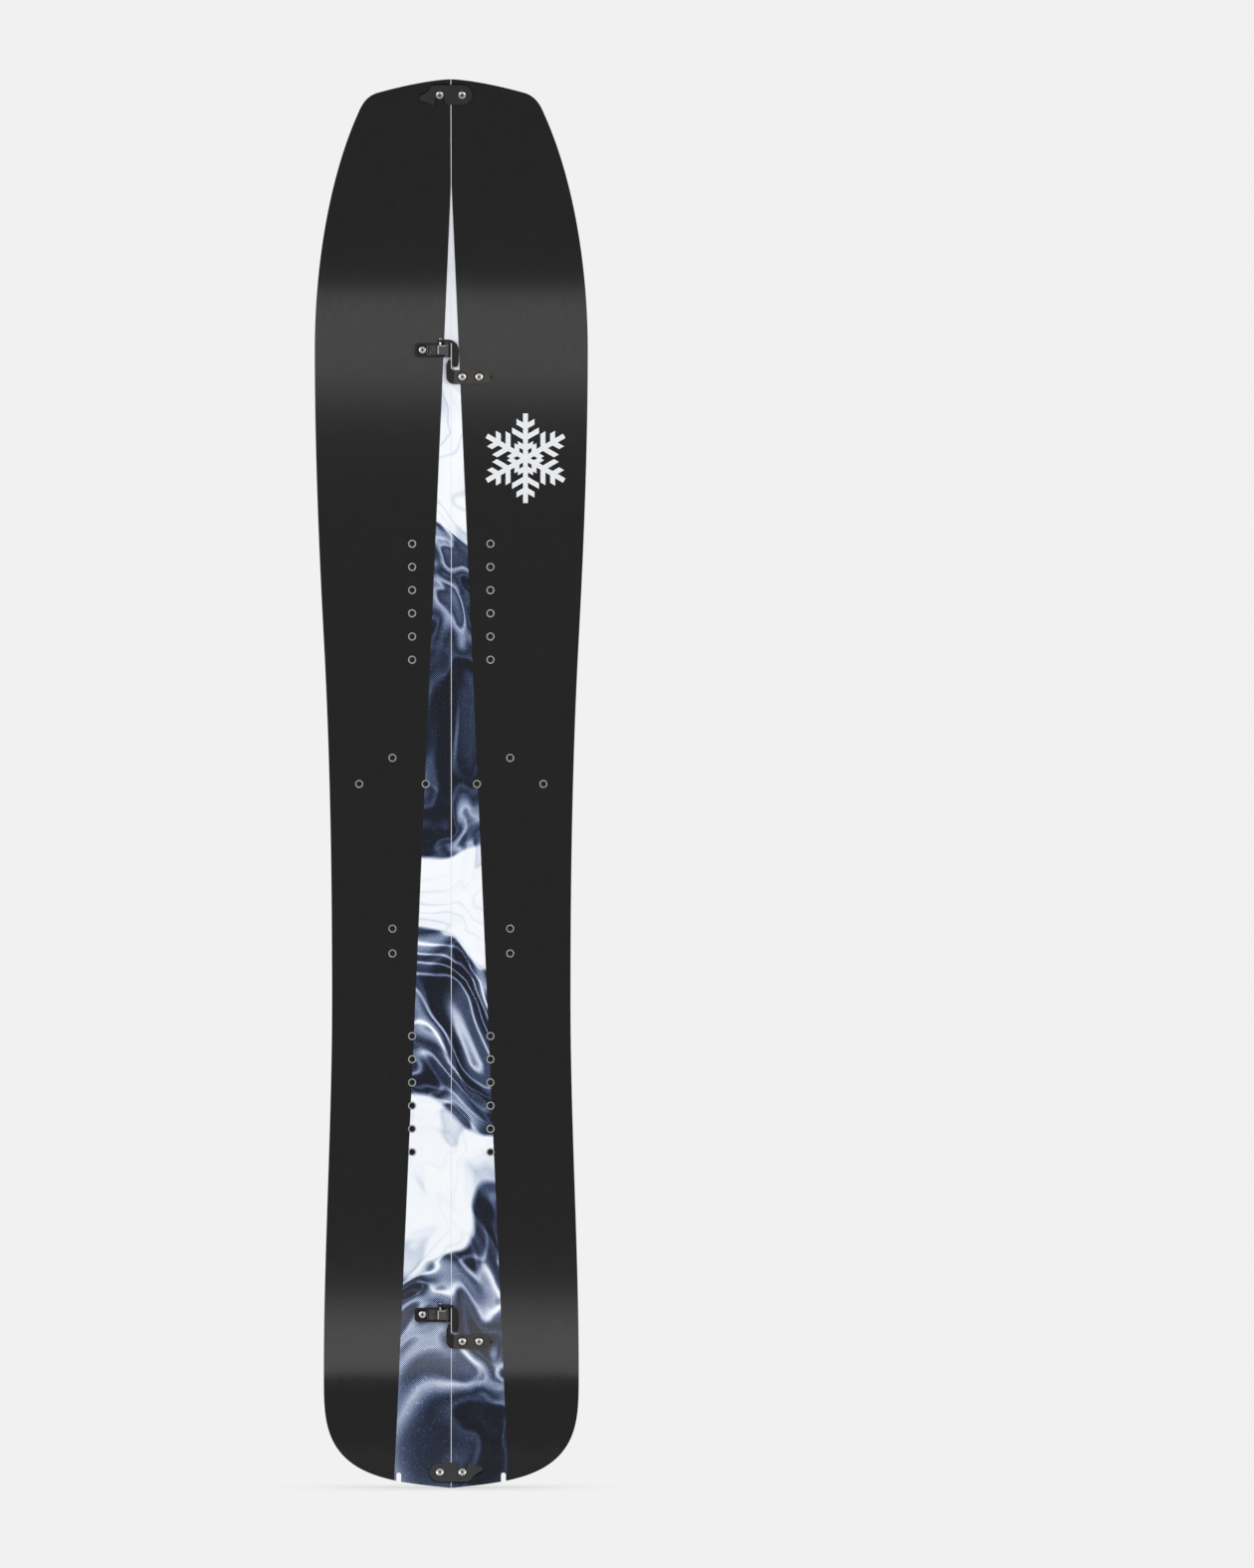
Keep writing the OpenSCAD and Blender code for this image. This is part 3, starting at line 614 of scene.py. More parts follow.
def marble(f, seed, led, lean):
    """Tone of ink dragged through water, 0 dark and 1 pale.

    led (position, tone) stops lead it from tail to nose, and lean stops lead it across.
    """
    flat = f.vector("ADD", f.stretched(1.0, 0.0, 0.78), (seed, seed * 0.7, 0.0))
    dragged = flat
    for scale, detail, reach in ((3.6, 1.0, 0.36), (9.5, 1.0, 0.1)):
        pull = f.vector("SUBTRACT", f.noise(scale, detail, dragged, "Color"), (0.5, 0.5, 0.5))
        dragged = f.vector("ADD", dragged, f.vector("MULTIPLY", pull, (reach, 0.0, reach)))
    place = f.math("MULTIPLY_ADD", f.z, 0.5 / HALF_L, 0.5)
    across = f.math("MULTIPLY", f.math("SUBTRACT", f.ramp(place, *lean), 0.5), f.x)
    led_by = f.math("SUBTRACT", f.ramp(place, *led), 0.5)
    field = f.math("MULTIPLY_ADD", led_by, 0.44, f.noise(4.6, 0.8, dragged))
    field = f.math("MULTIPLY_ADD", across, 2.6, field)
    pale = f.math("MULTIPLY_ADD", f.math("SUBTRACT", field, 0.5), 60.0, 0.5, clamp=True)
    drift = f.noise(11.0, 2.0, dragged)
    comb = f.math("MULTIPLY_ADD", field, 105.0, f.math("MULTIPLY", drift, 44.0))
    comb = f.math("MULTIPLY_ADD", f.math("SINE", comb), 0.5, 0.5)
    near = f.ramp(f.noise(6.5, 1.0, flat), (0.42, 0.0), (0.58, 1.0))
    deep = f.ramp(drift, (0.36, 0.3), (0.42, 0.05), (0.48, 0.03), (0.5, 0.3), (0.53, 0.14), (0.57, 0.5),
                  (0.6, 0.66), (0.63, 0.2), (0.7, 0.4))
    thread = f.math("MULTIPLY", f.math("POWER", comb, 5.0), f.math("MULTIPLY_ADD", near, 0.42, 0.06))
    deep = f.math("ADD", deep, thread)
    grit = f.math("GREATER_THAN", f.noise(650.0, 1.0), 0.66)
    deep = f.math("MULTIPLY_ADD", grit, 0.16, deep, clamp=True)
    veil = f.ramp(drift, (0.3, 0.72), (0.42, 0.93), (0.52, 1.0), (0.63, 0.97), (0.66, 0.8), (0.74, 0.9))
    faint = f.math("MULTIPLY", f.math("POWER", comb, 9.0), f.math("MULTIPLY", near, 0.13))
    veil = f.math("SUBTRACT", veil, faint, clamp=True)
    return f.blend(pale, deep, veil)


def halftone(f, tone, pitch):
    """Tone broken up into a screen of dots turned by 45 degrees."""
    turn = 2 * math.pi / pitch / math.sqrt(2)
    rising = f.math("COSINE", f.math("MULTIPLY", f.math("ADD", f.x, f.z), turn))
    falling = f.math("COSINE", f.math("MULTIPLY", f.math("SUBTRACT", f.x, f.z), turn))
    screen = f.math("MULTIPLY_ADD", f.math("ADD", rising, falling), 0.25, 0.5)
    dots = f.math("MULTIPLY_ADD", f.math("SUBTRACT", tone, screen), 3.5, 0.5, clamp=True)
    return f.blend(0.4, tone, dots)


def snowflake(f, x, z, radius):
    """1 inside a plain six-armed snowflake."""
    across = f.math("SUBTRACT", f.x, x)
    up = f.math("SUBTRACT", f.z, z)
    sixth = math.pi / 3
    angle = f.math("ARCTAN2", up, across)
    folded = f.math("SUBTRACT", f.math("FLOORED_MODULO", angle, sixth), sixth / 2)
    squares = f.math("ADD", f.math("MULTIPLY", across, across), f.math("MULTIPLY", up, up))
    distance = f.math("SQRT", squares)
    u = f.math("MULTIPLY", distance, f.math("COSINE", folded))
    v = f.math("ABSOLUTE", f.math("MULTIPLY", distance, f.math("SINE", folded)))
    half = radius * 0.055
    mark = f.math("MULTIPLY", f.math("LESS_THAN", v, half), f.math("LESS_THAN", u, radius))
    for root, length in ((0.22, 0.17), (0.45, 0.3), (0.7, 0.2)):
        run = f.math("MULTIPLY", f.math("SUBTRACT", u, radius * root), math.sin(sixth))
        away = f.math("ABSOLUTE", f.math("SUBTRACT", run, f.math("MULTIPLY", v, math.cos(sixth))))
        short = f.math("LESS_THAN", v, radius * length)
        branch = f.math("MULTIPLY", f.math("LESS_THAN", away, half), short)
        mark = f.math("MAXIMUM", mark, branch)
    return mark


def printed(f, tone):
    """Ink colours of the marbled graphic, from black through navy to white, with painted shade greying
    it towards the tips, where the ends bend away from the light.
    """
    colour = f.ramp(tone, (0.0, ink(11, 13, 20)), (0.16, ink(22, 30, 50)), (0.36, ink(48, 64, 102)),
                    (0.6, ink(112, 130, 168)), (0.8, ink(188, 200, 222)), (0.93, ink(234, 240, 248)),
                    (1.0, ink(248, 250, 253)))
    place = f.math("MULTIPLY_ADD", f.z, 0.5 / HALF_L, 0.5)
    # Painted shade: the print is multiplied by grey towards both tips, where the bent ends catch less
    # light.
    grey = f.ramp(place, (0.0, 0.8), (0.07, 0.1), (0.1, 0.0), (0.76, 0.0), (0.97, 1.0))
    return f.mix(grey, colour, ink(186, 187, 190), "MULTIPLY")


WEDGE_TOP = 667 * MM
WEDGE_SLOPE = 0.0437
SCREEN_PITCH = 1.65 * MM
TOP_MARK = (81.3 * MM, 356.8 * MM, 49 * MM)
BASE_MARK = (0.0, 618 * MM, 86 * MM)


def topsheet_finish():
    f = Finish("topsheet_print")
    led = ((0.0, 0.35), (0.1, 0.5), (0.16, 0.25), (0.24, 0.85), (0.3, 0.4), (0.36, 0.25), (0.42, 0.9),
           (0.5, 0.3), (0.57, 0.35), (0.62, 0.15), (0.7, 0.7), (0.75, 0.45), (0.8, 0.95), (1.0, 1.0))
    tone = marble(f, 2.3, led, ((0.0, 0.5), (1.0, 0.5)))
    colour = printed(f, halftone(f, tone, SCREEN_PITCH))
    half_width = f.math("MULTIPLY", f.math("SUBTRACT", WEDGE_TOP, f.z), WEDGE_SLOPE)
    within = f.math("SUBTRACT", half_width, f.math("ABSOLUTE", f.x))
    wedge = f.math("DIVIDE", within, 0.4 * MM, clamp=True)
    speck = f.noise(60.0, 4.0)
    black = f.mix(speck, ink(16, 15, 16), ink(25, 24, 25))
    colour = f.mix(wedge, black, colour)
    colour = f.mix(snowflake(f, *TOP_MARK), colour, ink(228, 230, 233))
    scuffs = f.noise(1.0, 5.0, f.stretched(900.0, 900.0, 60.0))
    roughness = f.blend(f.ramp(scuffs, (0.45, 0.0), (0.75, 1.0)), 0.1, 0.14)
    height = f.noise(520.0, 2.0)
    return f.surface(colour, roughness, height=height, bump=0.004 * MM)


def base_finish():
    f = Finish("base_print")
    led = ((0.0, 0.45), (0.07, 0.55), (0.15, 0.15), (0.2, 0.7), (0.25, 0.8), (0.32, 0.25), (0.44, 0.2),
           (0.51, 0.6), (0.57, 0.15), (0.7, 0.3), (0.79, 0.85), (1.0, 1.0))
    lean = ((0.0, 0.5), (0.26, 0.35), (0.38, 0.6), (0.45, 0.95), (0.7, 0.9), (0.8, 0.5), (1.0, 0.5))
    tone = marble(f, 7.9, led, lean)
    colour = printed(f, halftone(f, tone, SCREEN_PITCH))
    colour = f.mix(snowflake(f, *BASE_MARK), colour, ink(14, 15, 20))
    grind = f.noise(1.0, 4.0, f.stretched(2600.0, 2600.0, 18.0))
    roughness = f.blend(grind, 0.24, 0.42)
    return f.surface(colour, roughness, height=grind, bump=0.012 * MM, specular=0.35)


def glass_finish():
    """Woven glass in clear resin."""
    f = Finish("glass_laminate")
    weave = f.math("MULTIPLY", f.math("SINE", f.math("MULTIPLY", f.x, 3200.0)),
                   f.math("SINE", f.math("MULTIPLY", f.z, 3200.0)))
    cloudy = f.noise(45.0, 4.0)
    colour = f.mix(cloudy, ink(150, 158, 132), ink(190, 196, 172))
    colour = f.mix(f.math("MULTIPLY_ADD", weave, 0.12, 0.12), colour, ink(222, 226, 206))
    return f.surface(colour, f.blend(cloudy, 0.3, 0.5), height=weave, bump=0.01 * MM)


def wood_finish():
    """Strips of two light woods glued side by side, grain along the board."""
    f = Finish("wood_core")
    strip_w = 14 * MM
    number = f.math("FLOOR", f.math("DIVIDE", f.x, strip_w))
    tone = f.node("TexWhiteNoise", {"W": number}, noise_dimensions="1D").outputs["Value"]
    grain = f.noise(1.0, 6.0, f.stretched(420.0, 420.0, 9.0))
    colour = f.mix(tone, ink(196, 160, 112), ink(226, 196, 150))
    colour = f.mix(f.ramp(grain, (0.45, 0.0), (0.7, 0.6)), colour, ink(146, 106, 66))
    joint = f.math("LESS_THAN", f.math("FRACT", f.math("DIVIDE", f.x, strip_w)), 0.02)
    colour = f.mix(joint, colour, ink(96, 70, 44))
    return f.surface(colour, f.blend(grain, 0.55, 0.75), height=grain, bump=0.05 * MM)


def plastic_finish(name, dark, light, grain_scale=900.0, roughness=(0.42, 0.6), bump=0.02 * MM):
    """Moulded or sanded plastic: fine grain, paler where edges rub."""
    f = Finish(name)
    grain = f.noise(grain_scale, 3.0)
    patches = f.noise(35.0, 3.0)
    colour = f.mix(patches, dark, light)
    worn = f.math("MULTIPLY", f.edges(0.35 * MM), f.ramp(patches, (0.4, 0.1), (0.65, 0.7)))
    colour = f.mix(worn, colour, ink(78, 78, 82))
    return f.surface(colour, f.blend(grain, *roughness), height=grain, bump=bump)


def metal_finish(name, dull, bright, stretch, roughness=(0.22, 0.4)):
    """Bare metal with fine brushing along its long side."""
    f = Finish(name)
    brushed = f.noise(1.0, 5.0, f.stretched(*stretch))
    stains = f.noise(70.0, 4.0)
    colour = f.mix(brushed, dull, bright)
    colour = f.mix(f.ramp(stains, (0.55, 0.0), (0.75, 0.35)), colour, ink(96, 92, 88))
    return f.surface(colour, f.blend(brushed, *roughness), 1.0, brushed, 0.01 * MM)


def anodised_finish(name, dark, light, edge_metal_and_highlight, edge_wear_and_highlight):
    """Coated metal, paler along its edges: worn through the coating to the metal there, and painted
    highlights on the edges as well.
    """
    f = Finish(name)
    grain = f.noise(700.0, 3.0)
    patches = f.noise(90.0, 4.0)
    # Edges painted pale: wear through the coating, and painted highlights along the edges too.
    worn = f.math("MULTIPLY", f.edges(0.3 * MM), f.ramp(patches, (0.42, edge_wear_and_highlight * 0.35), (0.62, edge_wear_and_highlight)))
    colour = f.mix(worn, f.mix(patches, dark, light), edge_metal_and_highlight)
    return f.surface(colour, f.blend(grain, 0.34, 0.5), f.blend(worn, 0.55, 1.0), grain, 0.008 * MM)


finishes = {
    "topsheet": topsheet_finish(),
    "glass_laminate": glass_finish(),
    "wood_core": wood_finish(),
    "sidewall": plastic_finish("sidewall_plastic", ink(30, 30, 32), ink(44, 44, 46)),
    "tip_spacer": plastic_finish("spacer_plastic", ink(34, 34, 36), ink(50, 50, 52)),
    "base_sheet": base_finish(),
    "steel_edge": metal_finish("edge_steel", ink(120, 120, 124), ink(176, 176, 180),
                               (60.0, 60.0, 900.0)),
    "guard": metal_finish("guard_plate", ink(182, 182, 180), ink(208, 207, 204),
                          (400.0, 400.0, 400.0), (0.5, 0.65)),
    "insert": metal_finish("insert_steel", ink(188, 188, 190), ink(226, 226, 228),
                           (500.0, 500.0, 500.0)),
    "screw": metal_finish("screw_steel", ink(196, 196, 196), ink(236, 236, 234),
                          (700.0, 700.0, 700.0)),
    "pin": metal_finish("pin_steel", ink(180, 180, 182), ink(222, 222, 224), (80.0, 80.0, 900.0)),
    "black_metal": anodised_finish("black_anodised", ink(22, 22, 23), ink(36, 35, 35),
                                   ink(150, 150, 152), 0.5),
    "keeper_metal": anodised_finish("keeper_anodised", ink(56, 53, 50), ink(74, 70, 66),
                                    ink(158, 157, 152), 0.75),
    "lever_metal": anodised_finish("lever_anodised", ink(44, 42, 42), ink(62, 60, 60),
                                   ink(186, 186, 188), 1.0),
    "latch_plastic": plastic_finish("latch_plastic", ink(17, 18, 17), ink(28, 29, 28), 1400.0),
}
pad_finish = anodised_finish("lever_pad", ink(66, 66, 65), ink(84, 84, 82),
                             ink(176, 176, 176), 0.6)
# Painted shade: dark plastic laid in screw sockets and insert bores, standing in for the shadow inside
# them.
painted_recess_shade = plastic_finish("recess_shade", ink(24, 24, 25), ink(40, 40, 41), 1200.0)

# The CAD solids wear the same finishes
for node, slot in SLOTS.items():
    carried = frame["nodes"][node].data
    carried.materials.clear()
    carried.materials.append(finishes[slot])

# ---- layers of each half ------------------------------------------------------------------

GLUE = 0.05 * MM
INSERT_R = 4.5 * MM
FLANGE_R = 7 * MM
FLANGE_T = 0.6 * MM
INSERT_L = 2 * SKIN_T + CORE_T
SCREW_INSERT_R = 3.2 * MM
FRONT_CLIP_Z = JOINTS["front_lever_flip"]["pos_m"][2]
REAR_CLIP_Z = JOINTS["rear_lever_flip"]["pos_m"][2]
TIP_SPOT = JOINTS["nose_latch_turn"]["pos_m"]
LATCH_X = TIP_SPOT[0]
LATCH_Z = TIP_SPOT[2]

plan = outline()
plan_notched = notched(plan)
enclosed = inset(plan, EDGE_W)
low_x = SEAM_X + EDGE_W


def above_tail_guard(p):
    return p[1] - guard_z(p[0])


def below_tail_guard(p):
    return guard_z(p[0]) - p[1]


def outside_nose_guard(p):
    return -in_nose_guard(p)


def inner_edge_plan():
    """Straight band along the seam, its nose end cut along the crown."""
    seam_top = HALF_L - EDGE_W
    crown_fall = 0.08 * MM
    corners = [[SEAM_X, seam_top], [low_x, seam_top - crown_fall],
               [low_x, -HALF_L], [SEAM_X, -HALF_L]]
    return trim(dense(np.array(corners)), above_tail_guard)


def rect_plan(x0, x1, z0, z1):
    return np.array([[x0, z1], [x1, z1], [x1, z0], [x0, z0]])


def hole_loops(half):
    """Holes of the skins round the binding inserts and under the hardware."""
    binding = [circle(abs(x), z, INSERT_R + GLUE) for x, z in spots(half + "_binding_inserts")]
    small = [(abs(x), z) for x, z in spots(half + "_hardware_inserts") if abs(z) < HALF_L - TIP_FLAT]
    small += [(LATCH_X, LATCH_Z), (LATCH_X, -LATCH_Z)]
    return binding + [circle(x, z, SCREW_INSERT_R + GLUE, 24) for x, z in small]


def board_half(half, side):
    holes = hole_loops(half)
    base_plan = trim(enclosed, above_tail_guard, guard_front(low_x))
    base_plan = trim(base_plan, outside_nose_guard, nose_guard_rim())
    tail_plan = trim(plan, below_tail_guard, guard_front(SEAM_X)[::-1])
    pieces = {
        "topsheet": (plan_notched, DECK, UPPER_GLASS, holes, (0.22 * MM, 0)),
        "upper_laminate": (plan_notched, UPPER_GLASS, CORE_TOP, holes, (0, 0)),
        "outer_sidewall": (strip(OUTER_WALL_W, CORE_TAIL_Z, CORE_NOSE_Z),
                           CORE_TOP, CORE_BOTTOM, (), (0, 0)),
        "inner_sidewall": (rect_plan(SEAM_X, SEAM_X + INNER_WALL_W, CORE_TAIL_Z, CORE_NOSE_Z),
                           CORE_TOP, CORE_BOTTOM, (), (0, 0)),
        "nose_spacer": (between(plan, CORE_NOSE_Z, HALF_L), CORE_TOP, CORE_BOTTOM, (), (0, 0)),
        "tail_spacer": (between(plan_notched, -HALF_L, CORE_TAIL_Z),
                        CORE_TOP, CORE_BOTTOM, (), (0, 0)),
        "base": (base_plan, LOWER_GLASS, BASE_FACE, (), (0, 0.12 * MM)),
        "outer_edge": (trim(strip(EDGE_W, -HALF_L, HALF_L), above_tail_guard), CORE_BOTTOM, BASE_FACE,
                       (), (0, 0.15 * MM)),
        "inner_edge": (inner_edge_plan(), CORE_BOTTOM, BASE_FACE, (), (0, 0.15 * MM)),
        "nose_guard": (trim(enclosed, in_nose_guard, nose_guard_rim()[::-1]), LOWER_GLASS, BASE_FACE,
                       (), (0, 0.15 * MM)),
        "tail_guard": (notched(tail_plan), LOWER_GLASS, BASE_FACE, (), (0, 0.2 * MM)),
    }
    for part, (loop, top, bottom, cut, soften) in pieces.items():
        node = half + "_" + part
        mesh = slab(node + "_shaped", side, loop, top, bottom, cut, soften)
        show(mesh, node, finishes[SLOTS[node]])


# ---- inserts and screws ---------------------------------------------------------------------

THREAD_PITCH = 1 * MM
BORE_R = 2.5 * MM
BORE_L = 5 * MM


def insert_rings():
    """Flanged barrel with a threaded blind bore."""
    rings = [(FLANGE_R, -INSERT_L), (FLANGE_R, FLANGE_T - INSERT_L), (INSERT_R, FLANGE_T - INSERT_L),
             (INSERT_R, -0.2 * MM), (INSERT_R - 0.2 * MM, 0.0), (INSERT_R - 1.3 * MM, 0.0)]
    turns = 4
    for k in range(turns):
        top = -0.9 * MM - k * THREAD_PITCH
        rings.append((BORE_R, top))
        rings.append((BORE_R, top - 0.2 * MM))
        rings.append((BORE_R + 0.4 * MM, top - 0.5 * MM))
        rings.append((BORE_R + 0.4 * MM, top - 0.6 * MM))
    rings.append((BORE_R, 0.02 * MM - BORE_L))
    rings.append((BORE_R - 0.3 * MM, -BORE_L))
    return rings


HEAD_R = 4.5 * MM
HEAD_T = 2.2 * MM
SHANK_R = 2 * MM
SHOULDER_R = 3.2 * MM
SOCKET_BANDS = 2


def socket_rings(top):
    """Cross-shaped recess that narrows as it goes down."""
    return [(1.55 * MM, top, 0.42), (1.35 * MM, top - 0.1 * MM, 0.46), (1.1 * MM, top - 1.3 * MM, 0.42)]


def pan_rings(seat, grip, shoulder=False):
    """Pan-head screw whose head sits on seat."""
    top = seat + HEAD_T
    rings = [(SHANK_R - 0.4 * MM, -grip), (SHANK_R, 0.4 * MM - grip)]
    if shoulder:
        rings += [(SHANK_R, 0.0), (SHOULDER_R, 0.0), (SHOULDER_R, seat)]
    else:
        rings.append((SHANK_R, seat))
    rings += [(HEAD_R - 0.15 * MM, seat), (HEAD_R, seat + 0.15 * MM), (HEAD_R, seat + 0.75 * MM)]
    dome = math.pi / 2
    for t in shares(7)[1:]:
        radius = HEAD_R - 1.6 * MM * (1 - math.cos(dome * t))
        rings.append((radius, seat + 0.75 * MM + (HEAD_T - 0.75 * MM) * math.sin(dome * t)))
    return rings + socket_rings(top)


def flush_rings(seat, grip):
    """Countersunk screw, flush with the clip's plate."""
    return [(SHANK_R - 0.4 * MM, -grip), (SHANK_R, 0.4 * MM - grip), (SHANK_R, seat - 1.6 * MM),
            (3.6 * MM, seat - 0.15 * MM), (3.5 * MM, seat - 0.05 * MM)] + socket_rings(seat - 0.05 * MM)


def all_inserts(half):
    node = half + "_binding_inserts"
    rings = insert_rings()
    # The threaded bore below the rim takes the painted recess shade.
    below_rim = len(rings) - 6
    ring = spun(rings, 40, below_rim)
    mesh = gathered(node + "_shaped", [(deck_frame(x, z), ring) for x, z in spots(node)])
    show(mesh, node, finishes["insert"], painted_recess_shade)


PLATE_T = 2.6 * MM
KEEPER_SEAT = 2.2 * MM
LATCH_SEAT = 4 * MM
GRIP = 4.6 * MM
TIP_GRIP = 2.3 * MM


def clip_screws(end):
    node = end + "_clip_screws"
    (seen_x, seen_z), (hidden_x, hidden_z) = spots(node)
    seen, hidden = pan_rings(PLATE_T, GRIP), flush_rings(PLATE_T, GRIP)
    parts = [(deck_frame(seen_x, seen_z), spun(seen, dark=SOCKET_BANDS)),
             (deck_frame(hidden_x, hidden_z), spun(hidden, dark=SOCKET_BANDS))]
    show(gathered(node + "_shaped", parts), node, finishes["screw"], painted_recess_shade)


def keeper_screws(end):
    node = end + "_keeper_screws"
    turned = Matrix.Rotation(math.radians(24), 4, "Z")
    screw = spun(pan_rings(KEEPER_SEAT, GRIP), dark=SOCKET_BANDS)
    parts = [(deck_frame(x, z) @ turned, screw) for x, z in spots(node)]
    show(gathered(node + "_shaped", parts), node, finishes["screw"], painted_recess_shade)


def tip_screws(end, sign):
    """Pivot screw, catch post and washer of a tip latch.

    The pivot screw is on the right at the nose and on the left at the tail.
    """
    for node, x in ((end + "_pivot_screw", sign * LATCH_X), (end + "_post", -sign * LATCH_X)):
        matrix = deck_frame(x, sign * LATCH_Z) @ Matrix.Rotation(math.radians(35), 4, "Z")
        parts = [(matrix, spun(pan_rings(LATCH_SEAT, TIP_GRIP, True), dark=SOCKET_BANDS))]
        show(gathered(node + "_shaped", parts), node, finishes["screw"], painted_recess_shade)
    node = end + "_latch_washer"
    rim, hole, top = 5.5 * MM, SHOULDER_R + 0.05 * MM, 0.5 * MM
    rings = [(hole, 0.0), (rim - 0.1 * MM, 0.0), (rim, 0.1 * MM), (rim, top - 0.1 * MM),
             (rim - 0.1 * MM, top), (hole, top)]
    vertices, faces, _ = spun(rings)
    faces = faces[:-2]
    last = (len(rings) - 1) * ROUND
    faces += [[i, (i + 1) % ROUND, last + (i + 1) % ROUND, last + i] for i in range(ROUND)]
    matrix = deck_frame(sign * LATCH_X, sign * LATCH_Z)
    washer = (vertices, faces, [0] * len(faces))
    show(gathered(node + "_shaped", [(matrix, washer)]), node, finishes["screw"])


# ---- clips, keepers and latches -----------------------------------------------------------------


def bar(x0, x1, y0, y1, h0, h1, chamfer):
    """Vertices and faces of a low ridge in the deck's frame, chamfered along its top."""
    vertices = []
    for inset_by, height in ((0.0, h0), (0.0, h1 - chamfer), (chamfer, h1)):
        for x, y in ((x0, y0), (x1, y0), (x1, y1), (x0, y1)):
            sx = inset_by if x == x0 else -inset_by
            sy = inset_by if y == y0 else -inset_by
            vertices.append(Vector((x + sx, y + sy, height)))
    faces = [[0, 1, 2, 3], [8, 9, 10, 11]]
    for low in (0, 4):
        for i in range(4):
            j = (i + 1) % 4
            faces.append([low + i, low + j, low + 4 + j, low + 4 + i])
    return vertices, faces


def add_parts(bm, parts, finish_number=0):
    """Adds closed parts (matrix, (vertices, faces)) to a bmesh."""
    for matrix, (vertices, faces) in parts:
        made = [bm.verts.new(matrix @ v) for v in vertices]
        for face in faces:
            bm.faces.new([made[i] for i in face]).material_index = finish_number


def simple_piece(node, width, turns=3):
    show(finished_mesh(node + "_shaped", rounded(node, width, turns)), node, finishes[SLOTS[node]])


def top_face(bm, high_y):
    """Largest face that looks out of the deck at the given height."""
    outward = [f for f in bm.faces if f.normal.y < -0.99]
    level = [f for f in outward if abs(f.calc_center_median().y - high_y) < 0.3 * MM]
    return max(level, key=lambda f: f.calc_area())


def grip_ridges(matrix, start, pitch, width, sides, heights):
    """Four ridges side by side in the deck's frame."""
    return [(matrix, bar(start + k * pitch, start + k * pitch + width, *sides, *heights, 0.2 * MM))
            for k in range(4)]


def lever_piece(end, z):
    """Lever with a pad let into its top, bright steel strips along two sides of it as painted
    highlights, and ridges on its tail.
    """
    node = end + "_lever"
    bm = rounded(node, 0.3 * MM, 3)
    bm.normal_update()
    pad = top_face(bm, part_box(node)[0].y)
    bmesh.ops.inset_region(bm, faces=[pad], thickness=0.75 * MM, depth=0.0)
    bmesh.ops.inset_region(bm, faces=[pad], thickness=0.15 * MM, depth=-0.35 * MM)
    pad.material_index = 1
    low, high = np.min([v.co for v in pad.verts], axis=0), np.max([v.co for v in pad.verts], axis=0)
    floor_h, rail_h = -high[1] - 0.2 * MM, 0.3 * MM - high[1]
    # Bright steel bars put where highlights run along the pad's end and top: painted highlights.
    painted_highlight_rails = [bar(low[0] + 0.1 * MM, low[0] + 1.3 * MM, low[2] - z + 0.2 * MM, high[2] - z - 1.2 * MM,
                 floor_h, rail_h, 0.1 * MM),
             bar(low[0] + 0.1 * MM, high[0] - 0.1 * MM, high[2] - z - 1.0 * MM, high[2] - z - 0.1 * MM,
                 floor_h, rail_h, 0.1 * MM)]
    add_parts(bm, [(deck_frame(0.0, z), rail) for rail in painted_highlight_rails], 2)
    tail_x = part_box(node)[0].x
    sides, heights = (-4.2 * MM, 4.2 * MM), (5.4 * MM, 6.5 * MM)
    add_parts(bm, grip_ridges(deck_frame(0.0, z), tail_x + 3.4 * MM, 1.7 * MM, 0.8 * MM, sides, heights))
    mesh = finished_mesh(node + "_shaped", bm)
    show(mesh, node, finishes["lever_metal"], pad_finish, finishes["pin"])


def latch_piece(end, sign):
    """Latch with grip ridges on its thumb tab."""
    node = end + "_latch"
    bm = rounded(node, 0.7 * MM, 4)
    turn = Matrix.Rotation(math.pi if sign > 0 else 0.0, 4, "Z")
    matrix = deck_frame(sign * LATCH_X, sign * LATCH_Z) @ turn
    sides, heights = (1.6 * MM, 6.4 * MM), (3 * MM, 3.95 * MM)
    add_parts(bm, grip_ridges(matrix, 36.6 * MM, 1.9 * MM, 0.9 * MM, sides, heights))
    show(finished_mesh(node + "_shaped", bm), node, finishes["latch_plastic"])


for half_name, half_side in (("left", -1), ("right", 1)):
    board_half(half_name, half_side)
    all_inserts(half_name)

for end_name, clip_z in (("front", FRONT_CLIP_Z), ("rear", REAR_CLIP_Z)):
    simple_piece(end_name + "_clip_base", 0.35 * MM)
    simple_piece(end_name + "_lever_pin", 0.2 * MM)
    simple_piece(end_name + "_hook", 0.55 * MM, 4)
    simple_piece(end_name + "_hook_pin", 0.2 * MM)
    simple_piece(end_name + "_keeper_claw", 0.4 * MM, 3)
    simple_piece(end_name + "_keeper_plate", 0.5 * MM, 4)
    lever_piece(end_name, clip_z)
    clip_screws(end_name)
    keeper_screws(end_name)

for tip_name, tip_sign in (("nose", 1), ("tail", -1)):
    latch_piece(tip_name, tip_sign)
    tip_screws(tip_name, tip_sign)

# ---- studio ----------------------------------------------------------------------------------------

BACKDROP = 0.88
SURROUND = 0.3
CAMERA_PLACE = (0.1925, -19.08, 0.0)


def seen_or_lit(tree, seen, lit):
    """seen for camera rays, lit for every other ray."""
    path = tree.nodes.new("ShaderNodeLightPath")
    mixed = tree.nodes.new("ShaderNodeMixShader")
    tree.links.new(path.outputs["Is Camera Ray"], mixed.inputs[0])
    tree.links.new(lit, mixed.inputs[1])
    tree.links.new(seen, mixed.inputs[2])
    return mixed.outputs[0]


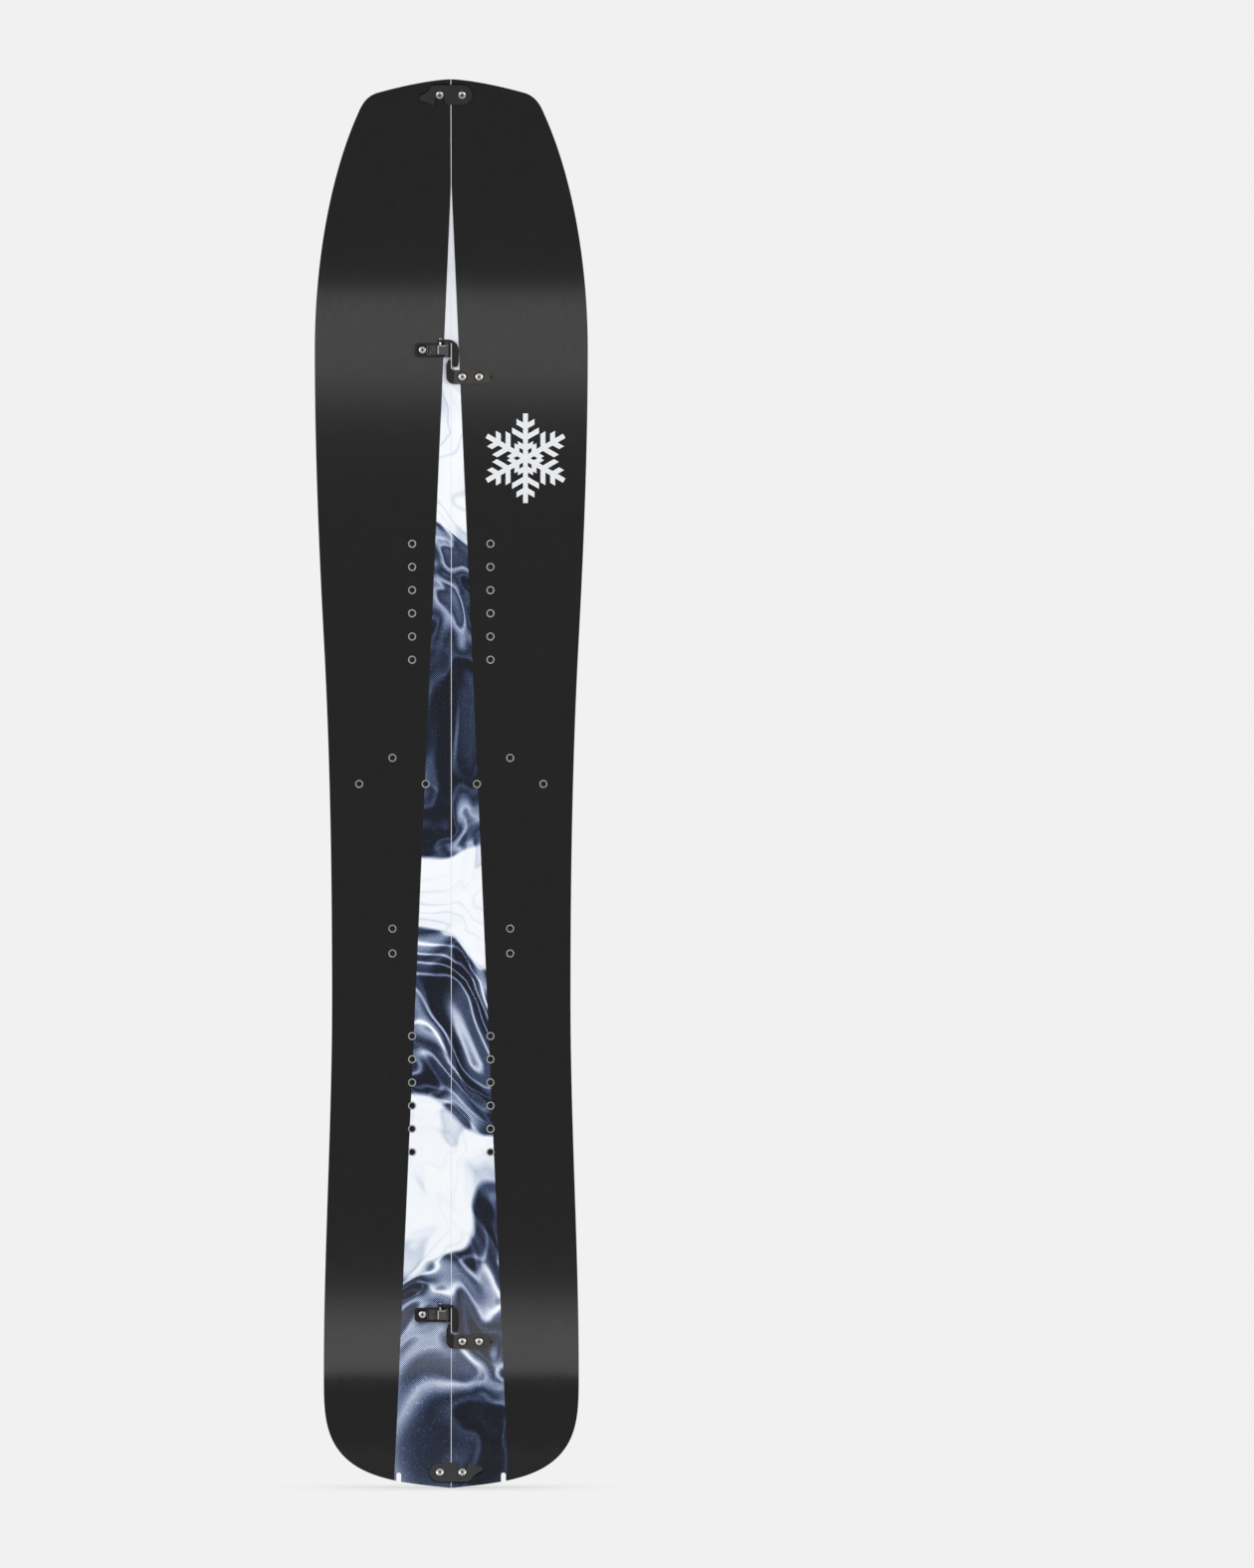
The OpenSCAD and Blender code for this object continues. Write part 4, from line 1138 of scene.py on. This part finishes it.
def glow(tree, kind, strength):
    made = tree.nodes.new("ShaderNode" + kind)
    made.inputs["Color"].default_value = (1, 1, 1, 1)
    made.inputs["Strength"].default_value = strength
    return made.outputs[0]


def set_world():
    world = bpy.data.worlds.new("studio")
    world.use_nodes = True
    tree = world.node_tree
    tree.nodes.clear()
    output = tree.nodes.new("ShaderNodeOutputWorld")
    shader = seen_or_lit(tree, glow(tree, "Background", BACKDROP), glow(tree, "Background", SURROUND))
    tree.links.new(shader, output.inputs["Surface"])
    bpy.context.scene.world = world


def floor():
    """Pale floor that fades into the backdrop, with a painted contact shadow where the board stands on
    it.
    """
    f = Finish("floor")
    # Painted shadow: ambient occlusion darkens the floor's glow near the board.
    shade = f.node("AmbientOcclusion", {"Distance": 0.12}, samples=8).outputs["AO"]
    clear = f.ramp(shade, (0.3, 0.0), (1.0, 1.0))
    level = f.math("MULTIPLY_ADD", clear, BACKDROP * 0.3, BACKDROP * 0.7)
    seen = f.node("Emission", {"Strength": level}).outputs[0]
    lit = f.node("Emission", {"Strength": SURROUND}).outputs[0]
    output = f.node("OutputMaterial")
    f.tree.links.new(seen_or_lit(f.tree, seen, lit), output.inputs["Surface"])
    mesh = bpy.data.meshes.new("floor")
    size, z = 30.0, cad_box[0].z - 0.5 * MM
    corners = [(-size, -size, z), (size, -size, z), (size, size, z), (-size, size, z)]
    mesh.from_pydata(corners, [], [(0, 1, 2, 3)])
    mesh.materials.append(f.material)
    plane = bpy.data.objects.new("floor", mesh)
    bpy.context.scene.collection.objects.link(plane)
    plane.visible_shadow = False
    plane.visible_glossy = False
    plane.visible_diffuse = False


def softbox(name, place, target, width, height, watts):
    lamp = bpy.data.lights.new(name, "AREA")
    lamp.shape = "RECTANGLE"
    lamp.size = width
    lamp.size_y = height
    lamp.energy = watts
    light = bpy.data.objects.new(name, lamp)
    light.location = place
    light.rotation_euler = (Vector(target) - Vector(place)).to_track_quat("-Z", "Y").to_euler()
    light.visible_camera = False
    bpy.context.scene.collection.objects.link(light)


# Narrow lights that the topsheet mirrors where its ends start to bend: name, depth, height, watts
STRIPS = (("nose_strip", -2.0, 0.53, 1.2), ("tail_strip", -1.4, -0.672, 1.35))
STRIP_W = 2.4
STRIP_H = 0.12


def set_lights():
    centre = (0.0, 0.0, 0.0)
    for name, side, depth in (("front_left", -1, -4.5), ("front_right", 1, -4.5),
                              ("back_left", -1, 4.5), ("back_right", 1, 4.5)):
        softbox(name, (side * 3.3, depth, 1.2), centre, 2.4, 2.4, 150)
    for name, depth, height, watts in STRIPS:
        softbox(name, (0.0, depth, height), (0.0, 0.0, height), STRIP_W, STRIP_H, watts)


def set_camera():
    data = bpy.data.cameras.new("camera")
    data.lens = 400
    data.sensor_width = 36
    data.clip_end = 100
    camera = bpy.data.objects.new("camera", data)
    camera.location = CAMERA_PLACE
    camera.rotation_euler = (math.pi / 2, 0.0, 0.0)
    bpy.context.scene.collection.objects.link(camera)
    bpy.context.scene.camera = camera


set_world()
floor()
set_lights()
set_camera()
bpy.context.scene.view_settings.view_transform = "Standard"

bpy.context.view_layer.update()
